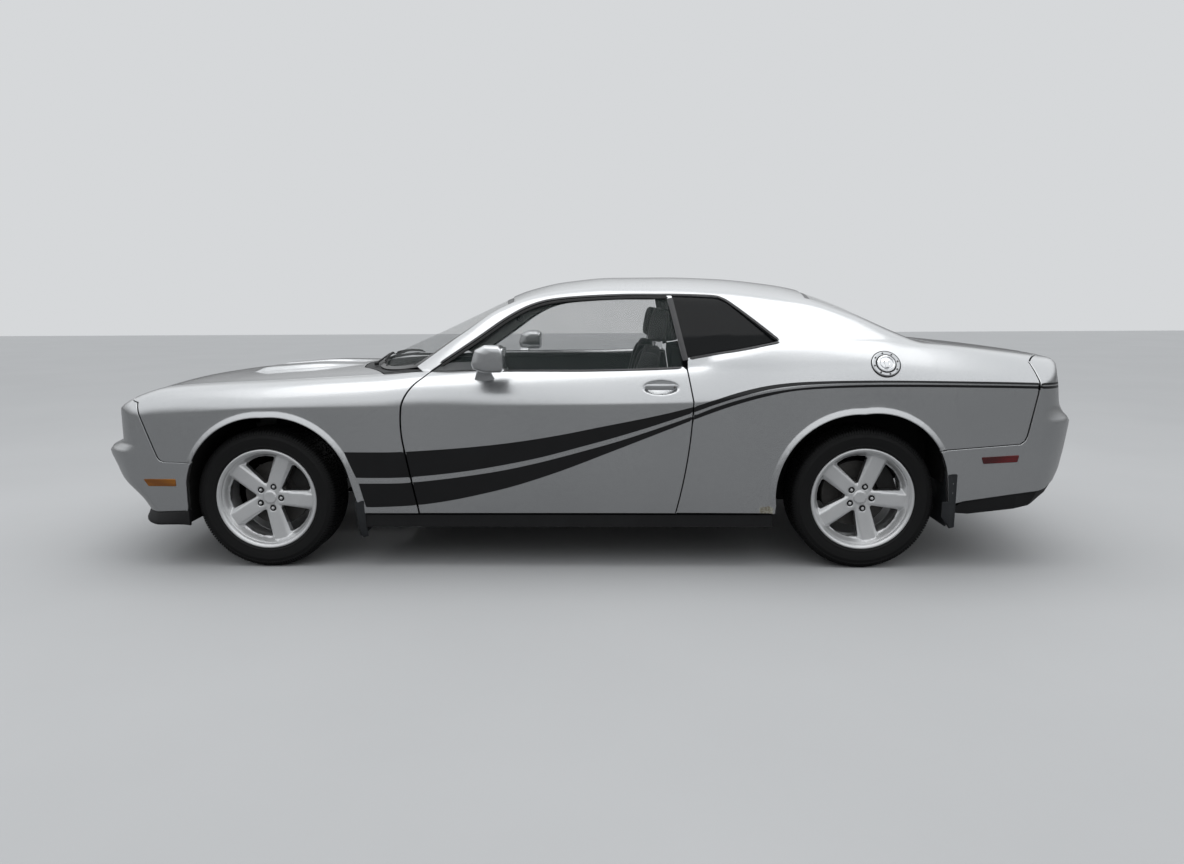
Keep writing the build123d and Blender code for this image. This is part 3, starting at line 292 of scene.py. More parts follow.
def roof_field(x, y, z):
    """The greenhouse, which closes steeply past its first and last stations."""
    out = out_of_table(ROOF_X, ROOF_R, ROOF_EYE, x, y, z)
    return out + 4 * np.maximum(x - ROOF[-1][0], 0) + 4 * np.maximum(ROOF[0][0] - x, 0)


def plan_field(x, y, z, base, reach, tuck=0.0):
    """Rounding of the nose or tail seen from above; tuck rounds it more towards the ground."""
    low = tuck * (1 - ramp(z, 260, 480))
    base, q = base + 120 * low, 3.846 - 1.05 * low
    depth = np.interp(z, REACH_Z, reach) - base
    a, b = np.maximum((x - base) / depth, 0), abs(y) / PLAN_Y
    slope = np.hypot(2.2 * a**1.2 / abs(depth), q * b ** (q - 1) / PLAN_Y)
    return (a**2.2 + b**q - 1) / np.maximum(slope, 1e-4) - 30 * (1 - ramp(a, 0.0, 0.3))

# %% [markdown]
# Outlines are written as lines and arcs, as a pattern maker draws them, and then cut into short steps.
# The wheel-arch lips, the dish behind the door handle and the two hood scoops are gentle reliefs added to the skin.

# %% Outlines and reliefs
def path(start, *onward, step=12.0):
    """Points at most step apart: from start on to each next point, or by an arc where it is [through, end]."""
    runs = []
    for stop in onward:
        way = [start, *stop] if isinstance(stop, list) else [start, stop]
        n = max(1, math.ceil(sum(math.dist(a, b) for a, b in zip(way, way[1:])) / step))
        run = arc(*way, n) if len(way) > 2 else np.linspace(*way, n + 1)
        runs.append(run[:-1])
        start = way[-1]
    return np.vstack(runs + [run[-1:]])


FRONT_ARCH = path((-1953, 180), (-1942, 440), [(-1828, 656), (-1540, 765)], [(-1261, 680), (-1139, 501)],
    (-1098, 340), (-1085, 180))
REAR_ARCH = path((938, 180), (951, 330), [(1035, 630), (1358, 776)], [(1668, 672), (1762, 481)], (1778, 340),
    (1785, 180))
LIP_W, LIP_H = 28.0, 15.0
HANDLE, DISH_DEPTH = (392.0, 902.0), 15
SCOOP_Y, SCOOP_W, SCOOP_H = 165.0, 96.0, 24

RELIEF_STEP = 5.0
RELIEF_X, RELIEF_Z = np.arange(-2100, 1900, RELIEF_STEP), np.arange(150, 1000, RELIEF_STEP)


def side_relief():
    """Height of the side's reliefs over a grid of x and z."""
    x, z = np.meshgrid(RELIEF_X, RELIEF_Z, indexing="ij")
    out = np.zeros(x.shape)
    for line in (FRONT_ARCH, REAR_ARCH):
        near = np.full(x.shape, 1e9)
        for px, pz in line:
            near = np.minimum(near, (x - px) ** 2 + (z - pz) ** 2)
        out += LIP_H * np.clip((LIP_W - np.sqrt(near)) / (LIP_W - 6), 0, 1)
    dish = ((x - HANDLE[0]) / 92) ** 2 + ((z - HANDLE[1]) / 34) ** 2
    return out - DISH_DEPTH * np.clip(1 - dish, 0, 1) ** 0.7


RELIEF = side_relief()


def relief(x, z):
    """Height of the side's reliefs at (x, z)."""
    return bilinear(RELIEF, (x - RELIEF_X[0]) / RELIEF_STEP, (z - RELIEF_Z[0]) / RELIEF_STEP)


def scoop(x, y):
    """Height of the two scoops over the hood."""
    across = 1 - ramp(abs(abs(y) - SCOOP_Y), SCOOP_W - 22, SCOOP_W + 8)
    return SCOOP_H * across * ramp(x, -1880, -1800) * (1 - ramp(x, -1560, -1190))


SIDE_FROM_Y, HOOD_FROM_Z = 700, 800  # where the reliefs of the side and of the hood begin
BELT_Z = 1040


def dressed(x, y, z):
    """The body with its reliefs: those of the side on the side, the scoops on the hood."""
    return body_field(x, y, z) - relief(x, z) * (abs(y) > SIDE_FROM_Y) - scoop(x, y) * (z > HOOD_FROM_Z)


def closed(whole, x, y, z):
    """A body cut off by the nose and the tail, in soft corners."""
    whole = soft_max(whole, plan_field(x, y, z, NOSE_X, NOSE_REACH, 1.0), 26 * ramp(-x, 2120, 2250))
    return soft_max(whole, plan_field(x, y, z, TAIL_X, TAIL_REACH), 22 * ramp(x, 2150, 2300))


def lower_skin(x, y, z):
    """The skin without the greenhouse, for doors, fenders, hood and fasciae."""
    return closed(dressed(x, y, z), x, y, z)


def skin(x, y, z):
    """The whole outer skin: below zero inside."""
    fillet = 60 * ramp(x, 380, 1000) * (1 - 0.6 * ramp(x, 1450, 1700)) + 1
    below = np.maximum(BELT_Z - z, 0) ** 2 / 100 * ramp(x, 400, 560)  # the greenhouse ends inside the body
    return closed(-soft_max(-dressed(x, y, z), -roof_field(x, y, z) - below, fillet), x, y, z)


HALVINGS = 26  # of the search along a ray, enough for a hundred-thousandth of a millimetre


def cast(field, start, way, near, far):
    """Points where rays that come in from outside, from far to near, meet the field's zero."""
    start, way = np.asarray(start, float), np.asarray(way, float)
    a, b = np.full(len(start), float(near)), np.full(len(start), float(far))
    for _ in range(HALVINGS):
        m = (a + b) / 2
        outside = field(*(start + way * m[:, None]).T) > 0
        a, b = np.where(outside, a, m), np.where(outside, m, b)
    return start + way * ((a + b) / 2)[:, None]


def along_axis(pts, field, axis, start, sign, far):
    """Points of a skin given by two coordinates, met along the third axis, from start outwards."""
    p = np.array(pts, float)
    way = np.zeros((len(p), 3))
    way[:, axis] = sign
    return cast(field, np.insert(p, axis, start, 1), way, 0, far)


def on_side(pts, field=lower_skin):
    """Points of the left side at (x, z)."""
    return along_axis(pts, field, 1, 0.0, -1, 1300)


def on_top(pts, field=lower_skin):
    """Points of the top at (x, y)."""
    return along_axis(pts, field, 2, 600.0, 1, 1100)


def on_end(pts, facing):
    """Points of the front, facing -1, or the back, facing 1, at (y, z)."""
    return along_axis(pts, lower_skin, 0, facing * 1900.0, facing, 900)


def other_side(p):
    """The mirrored run, in the order that carries a loop on round the car."""
    return p[::-1] * np.array([1, -1, 1])


def slopes(field, p, h=4.0):
    """Directions in which a field grows fastest."""
    out = np.empty_like(p)
    for i in range(3):
        d = np.zeros(3)
        d[i] = h
        out[:, i] = field(*(p + d).T) - field(*(p - d).T)
    return unit(out)


# %% [markdown]
# ## Panels
# A chart is a flat map of part of the skin, like a dressmaker's pattern: every point of it is a ray from inside the
# car. A panel's outline is laid on the chart, filled with points, and triangulated so that the outline, the crease
# and the edges of the stripes are all edges of the mesh. The rim is rolled over and joined to an inner sheet, so the
# panel is closed and has the thickness of the real one. Shading normals are the slopes of the skin function.

# %% Charts
RING_SCALE, GLOBE_SCALE = 900, 700  # millimetres of chart for each radian
CHART_FAR = 1500


class Ring:
    """Chart of sections: u runs along the car, v round it from the left side, over the top, to the right."""

    def __init__(self, eye, field):
        self.eye, self.field = eye, field

    def lay(self, p):
        return np.stack([p[:, 0], np.arctan2(p[:, 2] - self.eye, -p[:, 1]) * RING_SCALE], 1)

    def lift(self, uv):
        a = uv[:, 1] / RING_SCALE
        zero = np.zeros(len(uv))
        start = np.stack([uv[:, 0], zero, zero + self.eye], 1)
        return cast(self.field, start, np.stack([zero, -np.cos(a), np.sin(a)], 1), 60, CHART_FAR)


class Globe:
    """Chart of directions round a point inside the nose, facing -1, or the tail, facing 1."""

    field = staticmethod(lower_skin)

    def __init__(self, centre, facing):
        self.centre, self.facing = np.array(centre, float), facing

    def lay(self, p):
        d = p - self.centre
        turn = np.arctan2(-d[:, 1] * -self.facing, d[:, 0] * self.facing)
        return np.stack([turn, np.arctan2(d[:, 2], np.hypot(d[:, 0], d[:, 1]))], 1) * GLOBE_SCALE

    def lift(self, uv):
        t, e = uv.T / GLOBE_SCALE
        way = np.stack([self.facing * np.cos(t) * np.cos(e), self.facing * np.sin(t) * np.cos(e), np.sin(e)], 1)
        return cast(lower_skin, np.tile(self.centre, (len(uv), 1)), way, 100, CHART_FAR)


# %% Panel builder
HEM, CLEAR_OF_EDGE = 2.5, 3.0  # width of the fold at an edge, and how near to it a crease or a stripe may end


def within(loop, p):
    """Which points lie inside a closed loop."""
    x, y = p[:, 0], p[:, 1]
    inside = np.zeros(len(p), bool)
    for (x0, y0), (x1, y1) in zip(loop, np.roll(loop, -1, 0)):
        if y0 != y1:
            inside ^= ((y0 > y) != (y1 > y)) & (x < (x1 - x0) * (y - y0) / (y1 - y0) + x0)
    return inside


def inset(loop, d):
    """Loop moved to its left by d, which may differ from point to point."""
    a, b = loop - np.roll(loop, 1, 0), np.roll(loop, -1, 0) - loop
    left = lambda v: unit(np.stack([-v[:, 1], v[:, 0]], 1))
    n = left(a) + left(b)
    return loop + n * (2 * np.broadcast_to(d, len(loop)) / np.maximum((n**2).sum(1), 0.7))[:, None]


def turned(loop, left=True):
    """Whether a closed loop runs to the left, or to the right."""
    area = (loop[:, 0] * np.roll(loop[:, 1], -1) - np.roll(loop[:, 0], -1) * loop[:, 1]).sum()
    return (area > 0) == left


LEAST_GAP = 2.0


def thinned(loop, hem):
    """Drops points that nearly touch the one before."""
    keep = [0]
    for i in range(1, len(loop)):
        if math.dist(loop[i], loop[keep[-1]]) > LEAST_GAP and math.dist(loop[i], loop[0]) > LEAST_GAP * 0.8:
            keep.append(i)
    return loop[keep], hem[keep]


ROW_SHARE, KEEP_OFF = 0.87, 0.55  # of the step: between rows of points, and from any line


def filled(loops, creases, step, fine):
    """Points and triangles that fill the loops: the first is the outer one, the rest are holes."""
    lo, hi = loops[0].min(0), loops[0].max(0)

    def grid(lo, hi, step):
        us, vs = np.arange(lo[0], hi[0], step), np.arange(lo[1], hi[1], step * ROW_SHARE)
        u, v = np.meshgrid(us, vs)
        u = u + (np.arange(len(vs)) % 2)[:, None] * step / 2
        return np.stack([u.ravel(), v.ravel()], 1)

    def kept(p, step):
        p = p[inside_loops(loops, p)]
        for line in loops + creases:
            far = np.full(len(p), True)
            for k in range(0, len(line), 200):
                d = p[:, None, :] - line[None, k : k + 200]
                far &= ((d**2).sum(2) > (KEEP_OFF * step) ** 2).all(1)
            p = p[far]
        return p

    coarse = grid(lo, hi, step)
    clouds = []
    for f_lo, f_hi, f_step in fine:
        coarse = coarse[~((coarse > f_lo) & (coarse < f_hi)).all(1)]
        clouds.append(kept(grid(np.array(f_lo, float), np.array(f_hi, float), f_step), f_step))
    clouds.append(kept(coarse, step))
    points, edges = [], []
    for line, closed in [(l, True) for l in loops] + [(c, False) for c in creases]:
        n0, n = len(points), len(line)
        points += [Vector(q) for q in line]
        edges += [(n0 + i, n0 + (i + 1) % n) for i in range(n if closed else n - 1)]
    points += [Vector(q) for cloud in clouds for q in cloud]
    verts, _, faces, origin, _, _ = delaunay_2d_cdt(points, edges, [], 0, 1e-4)
    verts = np.array([tuple(v) for v in verts])
    tris = np.array([t for f in faces for t in ([f] if len(f) == 3
                else [[f[0], f[i], f[i + 1]] for i in range(1, len(f) - 1)])])
    good = inside_loops(loops, verts[tris].mean(1))
    place = {}
    for i, ids in enumerate(origin):
        for k in ids:
            place[k] = i
    ring_ids, n0 = [], 0
    for line in loops:
        ring_ids.append([place[n0 + i] for i in range(len(line))])
        n0 += len(line)
    return verts, tris[good], ring_ids


def inside_loops(loops, p):
    """Which points lie in the first loop and in none of the rest."""
    good = within(loops[0], p)
    for hole in loops[1:]:
        good &= ~within(hole, p)
    return good


def panel(name, chart, outer, materials, holes=(), creases=(), inlays=(), step=24.0, fine=(), depth=12.0,
          lift=0.0, mirrored=False):
    """Closed sheet on the skin.  outer and holes are lists of runs; inlays are (loop, material number).

    A run is its points, or (points, hem) where the fold at its edge isn't as wide as the rest.
    """
    loops, hems = [], []
    for k, runs in enumerate([outer, *holes]):
        runs = [run if isinstance(run, tuple) else (run, HEM) for run in runs]
        widths = np.concatenate([np.full(len(p), h, float) for p, h in runs])
        points, widths = thinned(np.vstack([chart.lay(p) for p, _ in runs]), widths)
        if not turned(points, left=(k == 0)):
            points, widths = points[::-1], widths[::-1]
        loops.append(points)
        hems.append(widths)
    tops = [inset(l, w) for l, w in zip(loops, hems)]
    clear = [inset(t, CLEAR_OF_EDGE) for t in tops]
    lines = []
    for line in [*creases, *(np.vstack([loop, loop[:1]]) for loop, _ in inlays)]:
        line = chart.lay(line)
        ok = inside_loops(clear, line)
        for run, good in zip(*(np.split(v, np.flatnonzero(np.diff(ok.astype(int))) + 1) for v in (line, ok))):
            if len(run) > 1 and good[0]:
                lines.append(run)
    uv, tris, rings = filled(tops, lines, step, fine)
    flat = chart.lift(uv)
    normal = slopes(chart.field, flat)
    flat = flat + normal * lift
    number = np.zeros(len(tris), int)
    middle = uv[tris].mean(1)
    for loop, material in inlays:
        number[within(chart.lay(loop), middle)] = material
    # the chart may be left-handed, so turn every triangle to face along the skin's normal
    a, b, c = (flat[tris[:, i]] for i in range(3))
    flip = (np.cross(b - a, c - a) * normal[tris[:, 0]]).sum(1) < 0
    tris[flip] = tris[flip][:, ::-1]
    left_handed = flip.mean() > 0.5
    number_at = {v: int(k) for t, k in zip(tris, number) for v in t}
    through = getattr(chart, "through", None)  # the way that the wall runs, where it isn't the skin's normal
    inner, last = len(flat), len(materials) - 1
    verts, normals = [flat, flat - (normal if through is None else through) * depth], [normal, -normal]
    faces = [list(t) for t in tris] + [[i + inner for i in t[::-1]] for t in tris]
    face_numbers = list(number) + [last] * len(tris)
    count = 2 * inner
    for loop, width, ring in zip(loops, hems, rings):
        m = len(loop)
        edge = chart.lift(loop)
        edge_n = slopes(chart.field, edge)
        edge = edge + edge_n * lift
        out = unit(edge - flat[ring])
        w = width[:, None]
        ids = [list(ring)]
        for p, q in (
            (flat[ring] + out * w * 0.7 - edge_n * w * 0.3, edge_n * 0.7 + out * 0.7),
            (edge - edge_n * w, out),
            (edge - (edge_n if through is None else through) * depth, out),
        ):
            verts.append(p)
            normals.append(q)
            ids.append(list(range(count, count + m)))
            count += m
        ids.append([i + inner for i in ring])
        for lower, upper in zip(ids, ids[1:]):
            for i in range(m):
                j = (i + 1) % m
                quad = [lower[i], upper[i], upper[j], lower[j]]
                faces.append(quad[::-1] if left_handed else quad)
                face_numbers.append(last if upper is ids[-1] else number_at.get(ring[i], 0))
    verts, normals = np.vstack(verts), np.vstack(normals)
    if mirrored:
        verts, normals, faces = verts * [1, -1, 1], normals * [1, -1, 1], [f[::-1] for f in faces]
    return make_mesh(name, verts, faces, materials, face_numbers, normals)


def make_mesh(name, verts, faces, materials, numbers=None, normals=None, sharp=None):
    """Mesh object in metres from millimetres, at the origin; folds sharper than sharp degrees stay crisp."""
    mesh = bpy.data.meshes.new(name)
    mesh.from_pydata((np.asarray(verts) / 1000).tolist(), [], [list(map(int, f)) for f in faces])
    for m in materials:
        mesh.materials.append(m)
    if numbers is not None:
        mesh.polygons.foreach_set("material_index", np.array(numbers, np.int32))
    mesh.polygons.foreach_set("use_smooth", [True] * len(mesh.polygons))
    if sharp is not None:
        mesh.set_sharp_from_angle(angle=math.radians(sharp))
    if normals is not None:
        mesh.normals_split_custom_set_from_vertices(unit(normals).tolist())
    obj = bpy.data.objects.new(name, mesh)
    bpy.context.scene.collection.objects.link(obj)
    return obj


# %% [markdown]
# ## Finishes
# A shader is arithmetic on what varies over a surface. One small class lets that arithmetic be written as Python:
# adding or multiplying two wires adds the Math nodes. A second class adds any other node by its type, its settings
# and its inputs. Numbers that are the same all over a surface are typed straight on the shader.

# %% Shader arithmetic
class Wire:
    """An output socket that can stand in a sum."""

    def __init__(self, finish, socket):
        self.finish, self.socket = finish, socket

    def maths(self, operation, a, *b):
        return self.finish.add("Math", {"operation": operation}, dict(enumerate((a, *b))))

    __add__ = __radd__ = lambda self, b: self.maths("ADD", self, b)
    __mul__ = __rmul__ = lambda self, b: self.maths("MULTIPLY", self, b)
    __sub__ = lambda self, b: self.maths("SUBTRACT", self, b)
    __rsub__ = lambda self, b: self.maths("SUBTRACT", b, self)
    clamped = lambda self: self.finish.add("Clamp", {}, {0: self})
    wave = lambda self: self.maths("SINE", self)


class Finish:
    """A material, or a world, with one shader: set() gives its inputs, and add() adds any other node."""

    def __init__(self, name, kind="materials", shader="Principled BSDF", **values):
        self.material = getattr(bpy.data, kind).new(name)
        self.material.use_nodes = True
        self.tree = self.material.node_tree
        self.shader = self.tree.nodes[shader]
        self.set(**values)

    def set(self, **values):
        for key, value in values.items():
            self.plug(self.shader.inputs[key.replace("_", " ")], value)

    def plug(self, socket, value):
        if isinstance(value, Wire):
            self.tree.links.new(value.socket, socket)
        elif socket.type == "RGBA" and len(value) == 3:
            socket.default_value = (*value, 1)
        else:
            socket.default_value = value

    def add(self, kind, settings=None, inputs=None, out=0):
        node = self.tree.nodes.new("ShaderNode" + kind)
        for key, value in (settings or {}).items():
            setattr(node, key, value)
        for key, value in (inputs or {}).items():
            self.plug(node.inputs[key], value)
        return Wire(self, node.outputs[out])

    def place(self, out=None):
        """Object coordinates, or one of them."""
        where = self.add("TexCoord", out="Object")
        return where if out is None else self.add("SeparateXYZ", {}, {0: where}, out)

    def noise(self, scale, detail):
        return self.add("TexNoise", {}, {"Vector": self.place(), "Scale": scale, "Detail": detail,
                "Roughness": 0.55})

    def shades(self, amount, dark, light):
        return self.add("Mix", {"data_type": "RGBA"}, {"Factor": amount, 6: (*dark, 1), 7: (*light, 1)}, 2)

    def bumped(self, height, distance):
        return self.add("Bump", {}, {"Height": height, "Distance": distance, "Strength": 1.0})


def plain_finish(name, dark, light, rough, grain, bump, metallic=0.0, spread=0.12, **more):
    """A moulded, cast or coated finish: mottled between two colours, with a fine grain that also breaks its gloss."""
    f = Finish(name, Metallic=metallic, **more)
    broad, fine = f.noise(9, 4), f.noise(grain, 2)
    f.set(Base_Color=f.shades(broad, dark, light), Roughness=rough - spread / 2 + spread * fine)
    if bump:
        f.set(Normal=f.bumped(fine, bump))
    return f.material


# %% [markdown]
# Silver metallic paint is three layers: a grey base, tiny aluminium flakes that each tilt their own way, and a clear
# coat over them. Flakes are a cell pattern under a millimetre wide, which shifts the shade and tilt of the base.

# %% Outer finishes
def silver_paint(name="silver_paint", bare_at=None):
    """Metallic paint; bare_at is where a spot of it has lifted and rusted, in metres."""
    f = Finish(name, Metallic=0.93, Coat_Weight=1.0, Coat_Roughness=0.03)
    flake = f.add("TexVoronoi", {}, {"Vector": f.place(), "Scale": 2600.0}, "Color")
    cell = f.add("SeparateColor", {}, {0: flake})
    cloud = f.noise(1.6, 2)
    colour = f.shades(cell * 0.55 + cloud * 0.45, (0.40, 0.41, 0.42), (0.62, 0.625, 0.63))
    gloss, peel = 0.24 + 0.10 * cell, f.noise(420, 1)
    height = cell * 0.6 + peel * 0.4
    if bare_at is None:
        f.set(Base_Color=colour, Roughness=gloss, Normal=f.bumped(height, 0.00006))
        return f.material
    x, y, z = bare_at
    long = 0.65  # the spot is drawn out along the car
    place = f.add("Mapping", {}, {"Vector": f.place(), "Scale": (long, 1, 1)})
    away = f.add("VectorMath", {"operation": "DISTANCE"}, {0: place, 1: (x * long, y, z)}, "Value")
    bare = ((0.026 - away) * 150 + (f.noise(60, 5) - 0.5) * 6).clamped()
    rust = f.shades((f.noise(90, 4) - 0.35) * 3, (0.12, 0.08, 0.05), (0.42, 0.43, 0.36))
    f.set(Base_Color=f.add("Mix", {"data_type": "RGBA"}, {"Factor": bare, 6: colour, 7: rust}, 2))
    f.set(Metallic=0.93 - 0.93 * bare, Coat_Weight=1 - bare, Roughness=gloss + 0.6 * bare)
    f.set(Normal=f.bumped(height - 6.0 * bare, 0.00006))
    return f.material


def tyre_rubber():
    f = Finish("tyre_rubber", Specular_IOR_Level=0.26)
    grime, fine = f.noise(14, 5), f.noise(900, 2)
    f.set(Base_Color=f.shades(grime, (0.0035, 0.0036, 0.004), (0.008, 0.008, 0.008)),
        Roughness=0.50 + 0.22 * grime)
    f.set(Normal=f.bumped(fine, 0.0004))
    return f.material


def brushed_disc():
    """Cast iron, mottled with rust, with a fine grain that breaks its gloss."""
    f = Finish("brake_iron", Metallic=0.6)
    fine = f.noise(240, 3)
    rust = f.noise(30, 4)
    f.set(Base_Color=f.shades(rust, (0.055, 0.052, 0.05), (0.15, 0.145, 0.14)), Roughness=0.42 + 0.25 * fine,
        Normal=f.bumped(fine, 0.0002))
    return f.material


def alloy(name, dark, light, rough, metallic=0.85):
    """Painted alloy under a clear coat."""
    f = Finish(name, Metallic=metallic, Coat_Weight=0.6, Coat_Roughness=0.08)
    grain, dust = f.noise(1500, 2), f.noise(20, 4)
    f.set(Base_Color=f.shades(0.5 * grain + 0.5 * dust, dark, light), Roughness=rough + 0.12 * dust,
        Normal=f.bumped(grain, 0.00005))
    return f.material


def clear_glass(name, tint, alpha, ior=1.55):
    f = Finish(name, IOR=ior)
    haze = f.noise(6, 4)
    f.set(Base_Color=f.shades(haze, tint, tuple(c * 1.3 + 0.002 for c in tint)), Roughness=0.015 + 0.03 * haze,
        Alpha=alpha + 0.04 * haze)
    return f.material


def lamp_lens(name, dark, light):
    """Moulded lens with the prisms behind it showing as a fine ribbing."""
    f = Finish(name, Coat_Weight=0.4, Coat_Roughness=0.03, IOR=1.49)
    y, z = f.place("Y"), f.place("Z")
    ribs = ((y * 900).wave() * 0.5 + 0.5) * ((z * 900).wave() * 0.5 + 0.5)
    f.set(Base_Color=f.shades(ribs, dark, light), Roughness=0.12 + 0.1 * ribs, Normal=f.bumped(ribs, 0.0006))
    return f.material


PAINT = silver_paint()
WORN_PAINT = silver_paint("silver_paint_rusted", (0.908, -0.945, 0.304))
VINYL = plain_finish("stripe_vinyl", (0.005, 0.005, 0.0055), (0.010, 0.010, 0.011), 0.30, 700, 0.00003,
    Specular_IOR_Level=0.35)
PRIMER = plain_finish("inner_coat", (0.055, 0.057, 0.06), (0.10, 0.102, 0.105), 0.55, 300, 0.0002)
TRIM = plain_finish("satin_trim", (0.020, 0.020, 0.021), (0.045, 0.045, 0.047), 0.34, 500, 0.00005, metallic=0.5)
SEAL = plain_finish("seal_rubber", (0.005, 0.005, 0.005), (0.012, 0.012, 0.012), 0.62, 600, 0.0002,
    Specular_IOR_Level=0.25)
PLASTIC = plain_finish("black_plastic", (0.006, 0.006, 0.0065), (0.015, 0.015, 0.016), 0.55, 800, 0.0003,
    Specular_IOR_Level=0.28)
RUBBER = tyre_rubber()
IRON = brushed_disc()
ALLOY = alloy("wheel_alloy", (0.60, 0.605, 0.61), (0.80, 0.805, 0.81), 0.30, 0.5)
CHROME = alloy("bright_chrome", (0.70, 0.71, 0.72), (0.86, 0.87, 0.88), 0.06)
STEEL = plain_finish("worn_steel", (0.09, 0.085, 0.08), (0.27, 0.26, 0.25), 0.45, 120, 0.0006, metallic=0.85,
    spread=0.3)
COATING = plain_finish("underbody_coating", (0.006, 0.006, 0.0065), (0.020, 0.019, 0.018), 0.85, 180, 0.0012,
    Specular_IOR_Level=0.2)
CAST = plain_finish("cast_metal", (0.13, 0.13, 0.13), (0.27, 0.27, 0.265), 0.50, 260, 0.0008, metallic=0.7,
    spread=0.25)
DARK_CAST = plain_finish("dark_casting", (0.018, 0.018, 0.018), (0.045, 0.044, 0.043), 0.62, 260, 0.0008,
    metallic=0.3, spread=0.2)
DARK_STEEL = plain_finish("exhaust_steel", (0.035, 0.033, 0.03), (0.10, 0.095, 0.09), 0.5, 120, 0.0006,
    metallic=0.7, spread=0.3)
FLAP_RUBBER = plain_finish("flap_rubber", (0.018, 0.020, 0.022), (0.036, 0.038, 0.041), 0.52, 500, 0.0003,
    Specular_IOR_Level=0.3)
HEADLINER = plain_finish("headliner_cloth", (0.20, 0.20, 0.19), (0.30, 0.30, 0.29), 0.93, 1500, 0.0003)
CARPET = plain_finish("carpet", (0.020, 0.020, 0.022), (0.045, 0.045, 0.048), 0.95, 1100, 0.0012)
GLASS = clear_glass("tinted_glass", (0.030, 0.044, 0.042), 0.11)
DARK_GLASS = clear_glass("privacy_glass", (0.0025, 0.003, 0.0035), 0.93, 1.24)
FRIT = plain_finish("glass_border", (0.006, 0.006, 0.006), (0.012, 0.012, 0.012), 0.20, 900, 0.0)
AMBER = lamp_lens("amber_lens", (0.20, 0.062, 0.002), (0.50, 0.19, 0.006))
RED = lamp_lens("red_lens", (0.055, 0.002, 0.003), (0.19, 0.006, 0.008))
MIRROR = alloy("mirror_glass", (0.70, 0.72, 0.74), (0.80, 0.82, 0.84), 0.02)
print("finishes:", len(bpy.data.materials))

# %% [markdown]
# ## Painted panels
# The panels meet in shut lines 5 mm wide. Each line is drawn once, in side view, in plan or on the end of the car,
# and both of its panels use it, moved to either side. Left panels are made first and mirrored.

# %% Shut lines
HALF_GAP, HINGE_HALF = 2.5, 3.75


def moved(line, dx=0.0, dz=0.0):
    """A side-view line moved to its place on one side of its gap."""
    return np.asarray(line, float) + (dx, dz)


def bend(*points, step=12.0):
    """Smooth line through points."""
    p = np.array(points, float)
    p = np.vstack([2 * p[0] - p[1], p, 2 * p[-1] - p[-2]])
    out = []
    for a, b, c, d in zip(p, p[1:], p[2:], p[3:]):
        n = max(1, math.ceil(np.linalg.norm(c - b) / step))
        t = np.linspace(0, 1, n, endpoint=False)[:, None]
        out.append(0.5 * (2 * b + (c - a) * t + (2 * a - 5 * b + 4 * c - d) * t**2 + (
                    3 * b - a - 3 * c + d) * t**3))
    return np.vstack(out + [p[-2:-1]])


CREASE_Z, LINE_Y = 3, 8


def measured(x, column):
    """A measure of the body, by its column in the table of stations."""
    return np.interp(x, [r[0] for r in SKIN], [r[column] for r in SKIN])


DOOR_FRONT = path((-797, 281), (-855, 606), [(-868, 735), (-863, 815)], [(-826, 896), (-775, 945)])
DOOR_REAR = path((466, 283), [(527, 600), (547, 835)], (521, 985))
FRONT_JOINT = path((-2222, 846), (-2175, 837), (-2081, 566), (-2070, 552), (-2050, 545), (-1960, 542),
    (-1902, 541))
REAR_JOINT = path((2162, 1031), (2178, 931), (2172, 870), (2134, 668), (2124, 645), (2105, 630), (1716, 600))
HOOD_EDGE = path((-2352, 0), [(-2346.5, -320), (-2330, -640)], [(-2318, -685), (-2280, -712)], (-2200, -745),
    (-2080, -768), (-1850, -770), (-1566, -765), (-985, -765))
HOOD_REAR = path((-985, -765), [(-1043, -640), (-1186, -420)], [(-1232, -215), (-1248, 0)])
SCREEN_BASE = path((-1171, 0), [(-1158, -185), (-1118, -360)], [(-1012, -612), (-823, -752)])
SCREEN_SIDE = path((-823, -752), (-345, -560))
SCREEN_TOP = path((-345, -560), [(-383, -285), (-395, 0)])
BACKLIGHT_TOP = path((1178, 0), [(1170, -270), (1148, -545)])
BACKLIGHT_SIDE = path((1148, -545), (1690, -612))
BACKLIGHT_BASE = path((1690, -612), [(1725, -310), (1736, 0)])
WINDOW_TOP = bend((-738, 983), (-524, 1127), (-357, 1241), (-229, 1301), (-86, 1327), (189, 1341), (432, 1341))
PILLAR_FRONT = path((432, 1341), (497, 1040))
PILLAR_REAR = path((524, 1040), (458, 1341))
QUARTER_TOP = bend((458, 1341), (560, 1338), (670, 1332), (710, 1320), (749, 1296), (850, 1217), (968, 1119))
QUARTER_BASE = bend((968, 1119), (781, 1082), (681, 1066), (524, 1040))
C_SEAM = path((968, 1119), (985, 1126), (1100, 1148), (1300, 1153), (1500, 1137), (1640, 1120), (1690, 1112))

